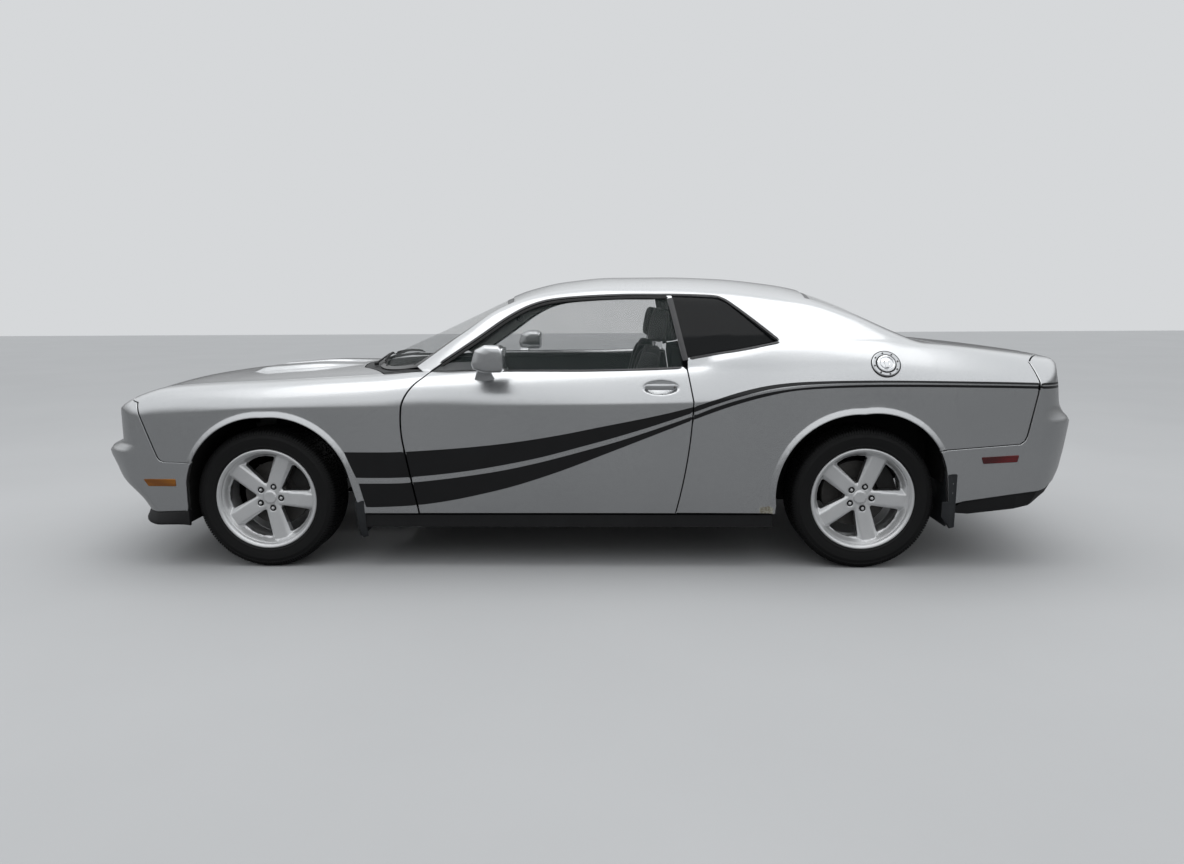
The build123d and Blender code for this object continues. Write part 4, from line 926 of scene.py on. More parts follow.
# stripe edges in side view, from the front arch to the tail
UPPER_TOP = bend((-1150, 595), (-1010, 594), (-867, 596), (-611, 612), (-367, 636), (-125, 672), (115, 719),
    (355, 767), (530, 809), (651, 847), (771, 884), (892, 912), (1012, 927), (1156, 934), (1372, 937),
    (1611, 935), (1970, 928), (2240, 920), (2480, 912), step=16)
UPPER_BASE = bend((-1099, 466), (-1010, 465), (-872, 467), (-713, 480), (-541, 501), (-370, 530), (-187, 568),
    (-5, 616), (175, 666), (355, 721), (530, 780), (651, 824), (771, 862), (892, 893), (1012, 911), (1156, 921),
    (1372, 926), (1611, 925), (1970, 918), (2240, 910), (2480, 902), step=16)
LOWER_TOP = bend((-1088, 437), (-1010, 437), (-873, 439), (-713, 454), (-542, 476), (-370, 504), (-188, 544),
    (-6, 592), (175, 643), (355, 702), (530, 764), (651, 811), (771, 849), (892, 879), (1013, 898), (1157, 910),
    (1372, 917), (1611, 917), (1971, 911), (2240, 904), (2480, 896), step=16)
LOWER_BASE = bend((-1060, 316), (-1010, 315), (-829, 324), (-680, 343), (-545, 369), (-372, 410), (-225, 454),
    (-67, 509), (115, 580), (295, 651), (474, 722), (530, 744), (652, 790), (771, 830), (892, 863), (1012, 887),
    (1156, 899), (1372, 905), (1611, 905), (1972, 899), (2240, 892), (2480, 884), step=16)


def stripe_inlays(x0, x1):
    """The two stripes between x0 and x1 as closed loops on the left side, all of black vinyl."""
    cut = lambda line: line[(line[:, 0] > x0) & (line[:, 0] < x1)]
    films = ((UPPER_TOP, UPPER_BASE), (LOWER_TOP, LOWER_BASE))
    return [(on_side(np.vstack([cut(base), cut(top)[::-1]])), 1) for top, base in films]


def crease(x0, x1, dz):
    xs = np.arange(x0, x1, 18.0)
    return on_side(np.stack([xs, measured(xs, CREASE_Z) + dz], 1))


def creases(x0, x1):
    """The crease and a line to each side of it, so that the fold is an edge of the mesh."""
    return [crease(x0, x1, dz) for dz in (0, 7, -7)]


SIDE_FINISH = [PAINT, VINYL, PRIMER]
SIDE = Ring(BODY_EYE, lower_skin)
print("shut lines ready")

# %% [markdown]
# ### Fender, door and quarter panel
# These three share the crease and the stripes. The stripes are vinyl film: their edges are cut into the mesh as
# edges, so they stay sharp at any distance, and the two films get a finish of their own.

# %% Sides
SIDES = (("left", False), ("right", True))
SEAM, RIM = 0.3, 1.2  # folds narrower than the rest: at a welded seam, and round the windows


def ridden(obj, body, *nodes):
    """Puts an object on its body and names the nodes that it is shown instead of."""
    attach(obj, body)
    if nodes:
        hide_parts(*nodes)
    return obj


def both_sides(name, body, nodes, *args, **kw):
    """A panel and its mirror image; {} in a name stands for the side."""
    made = []
    for side, flip in SIDES:
        obj = panel(name.format(side), *args, mirrored=flip, **kw)
        made.append(ridden(obj, body.format(side), *[node.format(side) for node in nodes]))
    return made


def fine_box(p, step):
    """The part of a chart round some points that is filled with finer triangles."""
    return p.min(0), p.max(0), step


def make_fender():
    front = moved(FRONT_JOINT, 2.5)
    arch_top = FRONT_ARCH[(FRONT_ARCH[:, 1] > 545) | (FRONT_ARCH[:, 0] > -1500)]
    arch_top = arch_top[arch_top[:, 1] > 284]
    hood_line = HOOD_EDGE[HOOD_EDGE[:, 0] > -2216] - (0, HALF_GAP)
    runs = [
        on_side(front),
        on_side(arch_top),
        on_side(path((-1087, 283), (-801, 283))),
        on_side(moved(DOOR_FRONT, -HINGE_HALF)),
        on_top(path((-757, -840), (-742, -799), (-985, -772))),
        on_top(hood_line[::-1]),
        on_top(path((-2219.5, -742), (-2219.5, -866))),
    ]
    both_sides("fender_{}_skin", "body", ["fender_{}"], SIDE, runs, SIDE_FINISH,
        creases=creases(-2200, -870) + arch_creases(FRONT_ARCH, 290, -2060), inlays=stripe_inlays(-1180, -700),
        depth=13)


def arch_creases(line, above, ahead):
    """Lines along the arch lip, so that its fold is an edge of the mesh."""
    rows = [line + left_of(line) * d for d in (7.0, LIP_W - 4, LIP_W + 4)]
    return [on_side(p[(p[:, 1] > above) & (p[:, 0] > ahead)]) for p in rows]


def make_door():
    belt_x = np.arange(-730, 512, 14.0)
    top = on_top(np.stack([belt_x, -(measured(belt_x, LINE_Y) + 5)], 1))
    runs = [
        on_side(moved(DOOR_FRONT, HINGE_HALF)),
        on_top(path((-745, -835), (-733, -806))),
        top,
        on_side(moved(DOOR_REAR, -HALF_GAP)[::-1]),
        on_side(path((463, 284), (-793, 284))),
    ]
    x, z = HANDLE
    box = fine_box(SIDE.lay(on_side([(x - 105, z - 45), (x + 105, z + 45)])), 7.0)
    both_sides("door_{}_skin", "door_{}", ["door_{}"], SIDE, runs, SIDE_FINISH, creases=creases(-850, 540),
        inlays=stripe_inlays(-900, 600), fine=[box], depth=16)


def make_quarter():
    arch_top = REAR_ARCH[(REAR_ARCH[:, 1] > 600) | (REAR_ARCH[:, 0] < 1300)]
    arch_top = arch_top[arch_top[:, 1] > 289]
    runs = [
        on_side(path((469, 286), (945, 286)), skin),
        on_side(arch_top, skin),
        on_side(moved(REAR_JOINT, -2.5)[::-1], skin),
        on_top(path((2160, -848), (2260, -700)), skin),
        (on_top(path((2260, -700), (1715, -700)), skin), SEAM),
        (on_side(C_SEAM[::-1], skin), SEAM),
        on_side(QUARTER_BASE, skin),
        on_side(moved(DOOR_REAR, HALF_GAP)[::-1], skin),
    ]
    made = both_sides("quarter_{}_skin", "body", ["quarter_{}"], Ring(BODY_EYE, skin), runs, SIDE_FINISH,
        creases=creases(560, 2150) + arch_creases(REAR_ARCH, 300, 900), inlays=stripe_inlays(400, 2300), depth=13)
    made[0].data.materials[0] = WORN_PAINT  # a spot of rust at the foot of the left arch


make_fender()
make_door()
make_quarter()
print("sides made")

# %% [markdown]
# ### Roof, deck, hood and lid
# The roof takes in the windscreen pillars, the strip behind each door and the broad rear pillars. It meets the
# quarter panels and the deck in welded seams, which don't show, so there both panels end on the very same points.

# %% Top
def whole_panel(name, chart, left_runs, finishes, body, node, **kw):
    """A symmetrical panel from the runs of its left half, which start and end on the middle plane."""
    right_runs = [(other_side(r[0]), r[1]) if isinstance(r, tuple) else other_side(r) for r in left_runs[::-1]]
    ridden(panel(name, chart, [*left_runs, *right_runs], finishes, **kw), body, node)


def make_roof():
    foot = on_side([(-775, 972), (-748, 976)], skin)
    left = [
        (on_top(SCREEN_TOP[::-1], roof_field), RIM),
        (on_top(SCREEN_SIDE[::-1], roof_field), RIM),
        (foot, RIM),
        (on_side(WINDOW_TOP, roof_field), RIM),
        (on_side(PILLAR_FRONT, roof_field), RIM),
        (on_side(PILLAR_REAR, roof_field), RIM),
        (on_side(QUARTER_TOP, skin), RIM),
        (on_side(C_SEAM, skin), SEAM),
        (on_top(path((1715, -700), (1704, -640)), skin), SEAM),
        (on_top(BACKLIGHT_SIDE[::-1], skin), RIM),
        (on_top(BACKLIGHT_TOP[::-1], skin), RIM),
    ]
    whole_panel("roof_panel_skin", Ring(700.0, skin), left, [PAINT, HEADLINER], "body", "roof_panel", step=26,
        depth=14)


def make_deck():
    left = [
        (on_top(BACKLIGHT_BASE[::-1], skin), RIM),
        (on_top(path((1704, -640), (1715, -700)), skin), SEAM),
        (on_top(path((1715, -700), (2260, -700)), skin), SEAM),
        on_top(path((2260, -700), (2266, -658)), skin),
        on_top(path((2266, -657.5), (1780, -657.5), (1769.5, -650), (1769.5, 0)), skin),
    ]
    whole_panel("rear_deck_skin", Ring(BODY_EYE, skin), left, [PAINT, PRIMER], "body", "rear_deck", step=18,
        depth=13)


def make_hood():
    edge = HOOD_EDGE + (0, HALF_GAP)
    edge = edge + np.where(edge[:, :1] < -2300, (HALF_GAP, 0), (0, 0))
    left = [on_top(edge), on_top(HOOD_REAR - (HALF_GAP, 0))]
    inlets = []
    for s in (-1, 1):
        slot = path((-1872, s * 100), (-1838, s * 96), (-1838, s * 234), (-1872, s * 230), (-1872, s * 100))
        inlets.append((on_top(slot), 1))
    corners = [[(-1900, s * SCOOP_Y - 120), (-1200, s * SCOOP_Y + 120)] for s in (-1, 1)]
    boxes = [fine_box(SIDE.lay(on_top(pts)), 14.0) for pts in corners]
    whole_panel("hood_skin", SIDE, left, [PAINT, PLASTIC, PRIMER], "hood", "hood", inlays=inlets, fine=boxes,
        step=24, depth=24)


def make_lid():
    chart = Globe((1500, 0, 300), 1)
    left = [
        on_top(path((1785, 0), (1785, -645), (1792.5, -652.5), (2330, -652.5))),
        on_end(path((-652.5, 990), (-652.5, 970), (-645, 964.5), (0, 964.5)), 1),
    ]
    whole_panel("boot_lid_skin", chart, left, [PAINT, PRIMER], "boot_lid", "boot_lid", step=20, depth=16)


make_roof()
make_deck()
make_hood()
make_lid()
print("top made")

# %% [markdown]
# ### Nose and tail
# Both fasciae are moulded in one piece and wrap round the corners as far as the wheels. Seen from a point inside the
# car they hide no part of themselves, so a globe of directions serves as their chart.

# %% Fasciae
def rounded(y0, y1, z0, z1, r):
    """Rounded rectangle on the end of the car, as (y, z) points."""
    k = r * (1 - math.sqrt(0.5))
    return path((y0 + r, z0), (y1 - r, z0), [(y1 - k, z0 + k), (y1, z0 + r)], (y1, z1 - r),
        [(y1 - k, z1 - k), (y1 - r, z1)], (y0 + r, z1), [(y0 + k, z1 - k), (y0, z1 - r)], (y0, z0 + r),
        [(y0 + k, z0 + k), (y0 + r, z0)], step=14)


NOSE_CHART = Globe((-1900, 0, 560), -1)
TAIL_CHART = Globe((1850, 0, 650), 1)
GRILLE, INTAKE = (-735, 735, 656, 778), (-500, 500, 322, 452)
TAIL_LAMP = (-790, 790, 812, 902)


def make_front_fascia():
    arch_low = FRONT_ARCH[(FRONT_ARCH[:, 0] < -1895) & (FRONT_ARCH[:, 1] < 536) & (FRONT_ARCH[:, 1] > 300)][::-1]
    edge = HOOD_EDGE[HOOD_EDGE[:, 0] < -2228] - (0, HALF_GAP)
    edge = edge - np.where(edge[:, :1] < -2300, (HALF_GAP, 0), (0, 0))
    left = [
        on_top(edge),
        on_top(path((-2224.5, -744), (-2224.5, -866))),
        on_side(moved(FRONT_JOINT, -2.5, -1)),
        on_side(arch_low),
        on_side(path((-1953, 294), (-2100, 288), (-2190, 281))),
        on_end(path((-790, 278), (-500, 262), (0, 256)), -1),
    ]
    holes = [[(on_end(rounded(*box, r), -1), h)] for box, r, h in ((GRILLE, 26, 6.0), (INTAKE, 30, 8.0))]
    whole_panel("front_fascia_skin", NOSE_CHART, left, [PAINT, PLASTIC, PRIMER], "body", "front_fascia",
        holes=holes, step=17, depth=26)


def make_rear_fascia():
    arch_low = REAR_ARCH[(REAR_ARCH[:, 0] > 1500) & (REAR_ARCH[:, 1] < 590) & (REAR_ARCH[:, 1] > 330)]
    left = [
        on_end(path((0, 959.5), (-657.5, 959.5), (-657.5, 985)), 1),
        on_top(path((2330, -657.5), (2271, -657.5), (2265, -701), (2165.5, -848))),
        on_side(moved(REAR_JOINT, 2.5, -2.5)),
        on_side(arch_low),
        on_side(path((1779, 325), (1860, 347), (2200, 396), (2258, 405))),
        on_end(path((-760, 418), (0, 422)), 1),
    ]
    holes = [[(on_end(rounded(*TAIL_LAMP, 20), 1), 4.0)]]
    inlays = stripe_inlays(2100, 2420)
    inlays += [(other_side(p), k) for p, k in inlays]
    whole_panel("rear_fascia_skin", TAIL_CHART, left, [PAINT, VINYL, PRIMER], "body", "rear_fascia", holes=holes,
        inlays=inlays, step=17, depth=26)


make_front_fascia()
make_rear_fascia()
print("fasciae made")

# %% [markdown]
# ## Wheels
# Each wheel is cast alloy: a barrel, which is a turned profile, and a face with five flat spokes, whose sides slope
# down to the openings. The face is a height map over a disc, so spokes, lug pockets and the dish run together in
# fillets as they do in a casting. It uses the same panel builder as the body, on a flat chart.

# %% Turned and lofted shapes
def spun(profile, count=96, axis=1):
    """Closed ring round X (axis 0) or Y (axis 1) from a closed profile of (radius, place along the axis).

    The faces of a ring round Y look outwards, and those of a ring round X look inwards."""
    a = np.arange(count) * 2 * math.pi / count
    radius, along = np.array(profile, float).T
    verts = np.stack([np.outer(np.cos(a), radius), np.tile(along, (count, 1)), np.outer(np.sin(a), radius)], -1)
    n = len(radius)
    ids = lambda i, j: (i % count) * n + j % n
    faces = [(ids(i, j), ids(i + 1, j), ids(i + 1, j + 1), ids(i, j + 1)) for i in range(count) for j in range(n)]
    area = (radius * np.roll(along, -1) - np.roll(radius, -1) * along).sum()
    if area > 0:
        faces = [f[::-1] for f in faces]
    return verts.reshape(-1, 3)[:, [0, 1, 2] if axis else [1, 0, 2]], faces


def outward(verts, faces):
    """A closed shape with its faces turned to face out."""
    verts = np.array(verts)
    mid = verts.mean(0)
    volume = sum(np.dot(verts[f[0]] - mid, np.cross(verts[f[1]] - mid, verts[f[2]] - mid)) for f in faces)
    return verts, faces if volume > 0 else [f[::-1] for f in faces]


def lofted(loops):
    """Closed skin over loops of equal length, its ends capped with fans."""
    loops = [np.asarray(l, float) for l in loops]
    n = len(loops[0])
    verts = [v for l in loops for v in l]
    faces = []
    for k in range(0, n * (len(loops) - 1), n):
        faces += [(k + i, k + (i + 1) % n, k + n + (i + 1) % n, k + n + i) for i in range(n)]
    for k, way in ((0, -1), (len(loops) - 1, 1)):
        verts.append(loops[k].mean(0))
        faces += [(k * n + i, k * n + (i + 1) % n, len(verts) - 1)[::way] for i in range(n)]
    return outward(verts, faces)


def at_y(outline, y):
    """An outline of (x, z) points at a place along Y."""
    return np.insert(np.asarray(outline, float), 1, y, 1)


def oval(centre, across, up, power=2.6, count=28):
    """Rounded loop at centre; across and up are its half-axes as vectors."""
    t = np.arange(count) * 2 * math.pi / count
    c, s = np.cos(t), np.sin(t)
    k = 2 / power
    return np.array(centre) + np.outer(np.sign(c) * abs(c) ** k, across) + np.outer(np.sign(s) * abs(s) ** k, up)


def joined(*shapes):
    """Several (verts, faces) as one."""
    verts, faces = [], []
    for v, f in shapes:
        n = sum(len(w) for w in verts)
        verts.append(np.asarray(v, float))
        faces += [tuple(i + n for i in g) for g in f]
    return np.vstack(verts), faces


def rod_along(points, radius, count=12):
    """Round rod through points; radius may be a list."""
    p = np.array(points, float)
    r = np.broadcast_to(np.array(radius, float), len(p))
    t = unit(np.gradient(p, axis=0))
    u = unit(np.cross(t, (0, 0, 1.0) if abs(t[0, 2]) < 0.9 else (1.0, 0, 0)))
    v = np.cross(u, t)
    return lofted([oval(p[i], u[i] * r[i], v[i] * r[i], 2, count) for i in range(len(p))])


def slab(x0, x1, y0, y1, z0, z1, r=4.0):
    """Box with rounded edges."""
    cx, cy, hx, hy = (x0 + x1) / 2, (y0 + y1) / 2, (x1 - x0) / 2, (y1 - y0) / 2
    r = min(r, hx * 0.9, hy * 0.9, (z1 - z0) * 0.45)
    loops = []
    for z, d in ((z0, r), (z0 + 0.3 * r, 0.3 * r), (z0 + r, 0), (z1 - r, 0), (z1 - 0.3 * r, 0.3 * r), (z1, r)):
        pts = []
        for sx, sy, a0 in ((1, 1, 0), (-1, 1, 1), (-1, -1, 2), (1, -1, 3)):
            for k in range(4):
                a = (a0 + k / 3) * math.pi / 2
                pts.append((cx + sx * (hx - r) + (r - d) * math.cos(a),
                        cy + sy * (hy - r) + (r - d) * math.sin(a), z))
        loops.append(pts)
    return lofted(loops)


def moved_shape(shape, shift=(0, 0, 0), flip_y=False):
    """A shape carried by a shift and then, if it is for the right side, mirrored."""
    v, f = shape
    v = np.asarray(v, float) + shift
    return (v * [1, -1, 1], [g[::-1] for g in f]) if flip_y else (v, f)


def piece(name, body, shape, material, *nodes, sharp=35):
    """A visible piece on its body, shown instead of the CAD nodes named."""
    return ridden(make_mesh(name, *shape, [material], sharp=sharp), body, *nodes)


def pair(name, body, shape, material, *nodes, sharp=35):
    """A left piece and its mirror image; {} in a name stands for the side."""
    for side, flip in SIDES:
        names = [node.format(side) for node in nodes]
        piece(name.format(side), body.format(side), moved_shape(shape, flip_y=flip), material, *names,
            sharp=sharp)


# %% Geometry Nodes that repeat
def repeater(name, measure, lay_out):
    """Node tree that puts Count copies of a shape where lay_out says, from Count and one more measure."""
    tree = bpy.data.node_groups.new(name, "GeometryNodeTree")
    for label, kind in (("Geometry", "Geometry"), ("Count", "Int"), (measure, "Float"), ("Material", "Material")):
        tree.interface.new_socket(label, in_out="INPUT", socket_type="NodeSocket" + kind)
    tree.interface.new_socket("Geometry", in_out="OUTPUT", socket_type="NodeSocketGeometry")

    def node(kind, settings=None, **links):
        made = tree.nodes.new(kind)
        for key, value in (settings or {}).items():
            setattr(made, key, value)
        for key, value in links.items():
            socket = made.inputs[int(key[1:]) if key[0] == "_" else key]
            if isinstance(value, bpy.types.NodeSocket):
                tree.links.new(value, socket)
            else:
                socket.default_value = value
        return made.outputs[0] if made.outputs else None

    source = tree.nodes.new("NodeGroupInput").outputs
    copies = node("GeometryNodeInstanceOnPoints", Instance=source["Geometry"], **lay_out(node, source))
    real = node("GeometryNodeRealizeInstances", _0=copies)
    node("NodeGroupOutput", _0=node("GeometryNodeSetMaterial", _0=real, Material=source["Material"]))
    return tree


def round_y(node, source):
    """Count turns about the Y axis, the first at Start."""
    step = node("ShaderNodeMath", {"operation": "DIVIDE"}, _0=2 * math.pi, _1=source["Count"])
    angle = node("ShaderNodeMath", {"operation": "MULTIPLY"}, _0=node("GeometryNodeInputIndex"), _1=step)
    total = node("ShaderNodeMath", {"operation": "ADD"}, _0=angle, _1=source["Start"])
    points = node("GeometryNodePoints", _0=source["Count"])
    return {"Points": points, "Rotation": node("ShaderNodeCombineXYZ", _1=total)}


def along_y(node, source):
    """Count steps of Pitch along Y."""
    offset = node("ShaderNodeCombineXYZ", _1=source["Pitch"])
    return {"Points": node("GeometryNodeMeshLine", Count=source["Count"], Offset=offset)}


RING_TREE, ROW_TREE = repeater("ring_of_pieces", "Start", round_y), repeater("row_of_pieces", "Pitch", along_y)


def read_back(mesh):
    """Points in millimetres and faces of a mesh."""
    verts = np.empty(len(mesh.vertices) * 3)
    mesh.vertices.foreach_get("co", verts)
    return verts.reshape(-1, 3) * 1000, [tuple(p.vertices) for p in mesh.polygons]


def repeated(tree, shape, material, sharp=30, **values):
    """A shape repeated by a node tree, as points and faces again."""
    source = make_mesh("one_of_many", *shape, [material], sharp=sharp)
    work = source.modifiers.new("repeat", "NODES")
    work.node_group = tree
    sockets = {s.name: s.identifier for s in tree.interface.items_tree if s.in_out == "INPUT"}
    for label, value in {**values, "Material": material}.items():
        work[sockets[label]] = value
    mesh = bpy.data.meshes.new_from_object(source.evaluated_get(bpy.context.evaluated_depsgraph_get()))
    shape = read_back(mesh)
    bpy.data.objects.remove(source)
    bpy.data.meshes.remove(mesh)
    return shape


# %% Wheel face
SPOKE_HALF, LUG_CIRCLE = 33.0, 57.5
SPOKE_ANGLES = [math.radians(-4.5 + 72 * k) for k in range(5)]


def on_circle(radius, angle):
    """Points on a circle, last axis last."""
    return radius * np.stack([np.cos(angle), np.sin(angle)], -1)


def along_spoke(u, a, s):
    """Point or points u along a spoke at angle a and s to its side."""
    return np.stack([u * math.cos(a) - s * math.sin(a), u * math.sin(a) + s * math.cos(a)], -1)


def wheel_height(p, q):
    """How far the wheel's face stands out of its middle plane."""
    r = np.hypot(p, q)
    high = np.full(np.shape(r), 18.0)
    for a in SPOKE_ANGLES:
        u, v = p * math.cos(a) + q * math.sin(a), abs(q * math.cos(a) - p * math.sin(a))
        flat = 63 + 15 * np.clip(u / 225, 0, 1.1)
        side = np.maximum(v - SPOKE_HALF, 0)
        spoke = flat - 1.15 * side - 2.0 * np.maximum(-u, 0) + 1.2 * (1 - np.clip(v / SPOKE_HALF, 0, 1) ** 4)
        high = soft_max(high, spoke, 3)
    hub = 62 - 1.3 * np.maximum(r - 70, 0)
    high = soft_max(high, hub, 3)
    dish = 52 + 46 * ramp(r, 207, 232)
    high = soft_max(high, dish, 4)
    for a in SPOKE_ANGLES:
        nut = np.hypot(p - LUG_CIRCLE * math.cos(a), q - LUG_CIRCLE * math.sin(a))
        high = high - 12 * (1 - ramp(nut, 11.5, 15.0))
    return high + 5 * (1 - ramp(r, 31, 35.5)) - 1.6 * (1 - ramp(abs(r - 34), 0, 3.2))


class Disc:
    """Flat chart of a wheel's face, seen from outside."""

    through = np.array([0, -1.0, 0])

    def field(self, x, y, z):
        return -y - wheel_height(x, z)

    def lay(self, p):
        return p[:, [0, 2]].copy()

    def lift(self, uv):
        return np.stack([uv[:, 0], -wheel_height(uv[:, 0], uv[:, 1]), uv[:, 1]], 1)


def round_corners(pts, r, n=6):
    """Closed polygon with rounded corners."""
    out = []
    for a, b, c in zip(np.roll(pts, 1, 0), pts, np.roll(pts, -1, 0)):
        u, v = (a - b) / math.dist(a, b), (c - b) / math.dist(c, b)
        half = math.acos(np.clip(np.dot(u, v), -1, 1)) / 2
        d = r / math.tan(half)
        way = (u + v) / np.linalg.norm(u + v)
        centre = b + way * r / math.sin(half)
        p0, p1 = b + u * d - centre, b + v * d - centre
        a0, a1 = math.atan2(p0[1], p0[0]), math.atan2(p1[1], p1[0])
        turn = (a1 - a0 + math.pi) % (2 * math.pi) - math.pi
        out += [centre + on_circle(r, a0 + turn * k / n) for k in range(n + 1)]
    return np.array(out)


def wheel_window(k):
    """Opening between two spokes."""
    a0, a1 = SPOKE_ANGLES[k], SPOKE_ANGLES[k] + math.radians(72)
    mid = (a0 + a1) / 2
    near = 39 / math.sin(math.radians(36))
    pts = [on_circle(near, mid), along_spoke(200, a0, 50)]
    end = along_spoke(200, a1, -50)
    f0, f1 = math.atan2(*pts[1][::-1]), math.atan2(*end[::-1])
    span = (f1 - f0) % (2 * math.pi)
    pts += [on_circle(208, f0 + span * t) for t in (0.3, 0.5, 0.7)] + [end]
    loop = round_corners(np.array(pts), 9.0)
    steps = []
    for p, q in zip(loop, np.roll(loop, -1, 0)):
        n = max(1, round(math.dist(p, q) / 7))
        steps += [p + (q - p) * i / n for i in range(n)]
    return np.array(steps)


def wheel_face():
    """Points, faces and normals of the face, with the five openings cut through it."""
    chart = Disc()
    full_turn = lambda n: np.arange(n + 1) * 2 * math.pi / n
    holes = [[(chart.lift(wheel_window(k)), 2.5)] for k in range(5)]
    lines = []
    for a in SPOKE_ANGLES:
        lines += [chart.lift(along_spoke(np.linspace(52, 221, 28), a, s)) for s in (-SPOKE_HALF, SPOKE_HALF)]
        lines += [chart.lift(on_circle(LUG_CIRCLE, a) + on_circle(r, full_turn(24))) for r in (11.2, 15.2)]
    lines += [chart.lift(on_circle(r, full_turn(48))) for r in (31.0, 34.0, 37.0)]
    rim = chart.lift(on_circle(229.5, full_turn(120)[:-1]))
    made = panel("wheel_face_one", chart, [(rim, 1.0)], [ALLOY], holes=holes, creases=lines, step=7.0, depth=26.0)
    mesh = made.data
    normals, corner = np.empty(len(mesh.loops) * 3), np.empty(len(mesh.loops), np.int32)
    mesh.corner_normals.foreach_get("vector", normals)
    mesh.loops.foreach_get("vertex_index", corner)
    by_vertex = np.zeros((len(mesh.vertices), 3))
    by_vertex[corner] = normals.reshape(-1, 3)
    verts, faces = read_back(mesh)
    bpy.data.objects.remove(made)
    return verts, faces, by_vertex


BARREL = [(229, 90), (231.5, 101), (235.5, 109), (241, 113.5), (246, 114.6), (250, 113), (252, 108.5), (251, 104),
    (247, 102.5), (236, 101), (232, 95), (231.8, -95), (236, -101), (247, -103), (252, -108), (250, -113),
    (243, -114), (235, -108), (226, -94), (219, -62), (216, 0), (216, 44), (221, 62), (226, 76)]
BRAKE = [(60, -30), (165, -30), (166, -32), (166, -40), (158, -42), (158, -44), (166, -46), (166, -54),
    (165, -56), (60, -56)]
BELL = [(52, -52), (76, -52), (78, -50), (78, 20), (76, 24), (40, 40), (8, 40), (8, -52)]
NUT = [(13.0 * math.cos(a), 13.0 * math.sin(a)) for a in np.arange(6) * math.pi / 3]


def lug_nut():
    """Hexagonal nut with a domed top, at the top spoke's place."""
    loops = []
    for y, k in ((52, 1.0), (70, 1.0), (72.5, 0.86), (75, 0.74), (76.5, 0.45)):
        loops.append([(LUG_CIRCLE + x * 0.66 * k, -y, z * 0.66 * k) for x, z in NUT])
    return lofted(loops)


CAP = [(0.5, 62), (31, 62), (32.2, 67.5), (30.5, 69.6), (24, 70.2), (22, 69.4), (8, 69.8), (0.5, 70)]

# %% Tyre
CARCASS_R, TREAD_R = 342, 350
CARCASS_HALF = [(236, 97), (241, 104), (250, 107), (256, 110), (260, 113.2), (264, 114.4), (267, 113.6),
    (270, 114.0), (284, 116.2), (298, 117.3), (302, 117.2), (303, 117.5), (308, 117.3), (309, 116.7),
    (318, 114.8), (326, 111.5), (333, 107), (339, 100), (341.5, 92), (342, 60), (342, 20)]
CARCASS = [(r, -y) for r, y in CARCASS_HALF] + [(r, y) for r, y in CARCASS_HALF[::-1]]
SHOULDER = [(350, 60), (350, 84), (348.5, 93), (345, 101), (339.5, 107.5), (332, 112.2), (325, 114.4)]


def tread_block(line, a0, a1, skew):
    """Block of rubber under a line of (radius, y), between two angles in degrees; skew slants it."""
    sink = TREAD_R - CARCASS_R
    line = np.array(line, float)
    t = (line[:, 1] - line[0, 1]) / max(np.ptp(line[:, 1]), 1e-6)
    inner = np.array([(min(r - sink, CARCASS_R - 1), y * 0.985) if r > CARCASS_R + 1 else (r - 4.5, y - 3.0)
            for r, y in line])
    loops = []
    for edge, (rows, cut) in enumerate(((inner, 0), (line, 0.12), (line, 0.12), (inner, 0))):
        a = a0 + cut if edge < 2 else a1 - cut
        a = np.radians(a + skew * t)
        loops.append(np.stack([rows[:, 0] * np.cos(a), -rows[:, 1], rows[:, 0] * np.sin(a)], 1))
    n = len(line)
    faces = [(k + j, k + j + 1, k + n + j + 1, k + n + j) for k in (0, n, 2 * n) for j in range(n - 1)]
    faces += [(0, n, 2 * n, 3 * n), tuple(k * n + n - 1 for k in (3, 2, 1, 0))]
    return outward(np.vstack(loops), faces)


def tread_pitch():
    blocks = []
    for s in (1, -1):
        side = [(r, y * s) for r, y in SHOULDER]
        blocks += [tread_block(side, 0.25, 2.05, 0.4), tread_block(side, 2.45, 4.25, 0.4)]
        blocks += [tread_block([(TREAD_R, s * y) for y in (18, 36, 53)], 0.2, 3.9, 1.6 * s)]
    blocks.append(tread_block([(TREAD_R, y) for y in (-11, 0, 11)], 0.15, 4.35, 0.8))
    return joined(*blocks)


# %% Four wheels
AXLES, HUB_Y, HUB_Z = {"front": -1566.0, "rear": 1380.0}, -800.0, 350.0
CAP_ALLOY = alloy("cap_alloy", (0.30, 0.31, 0.32), (0.44, 0.45, 0.46), 0.26)


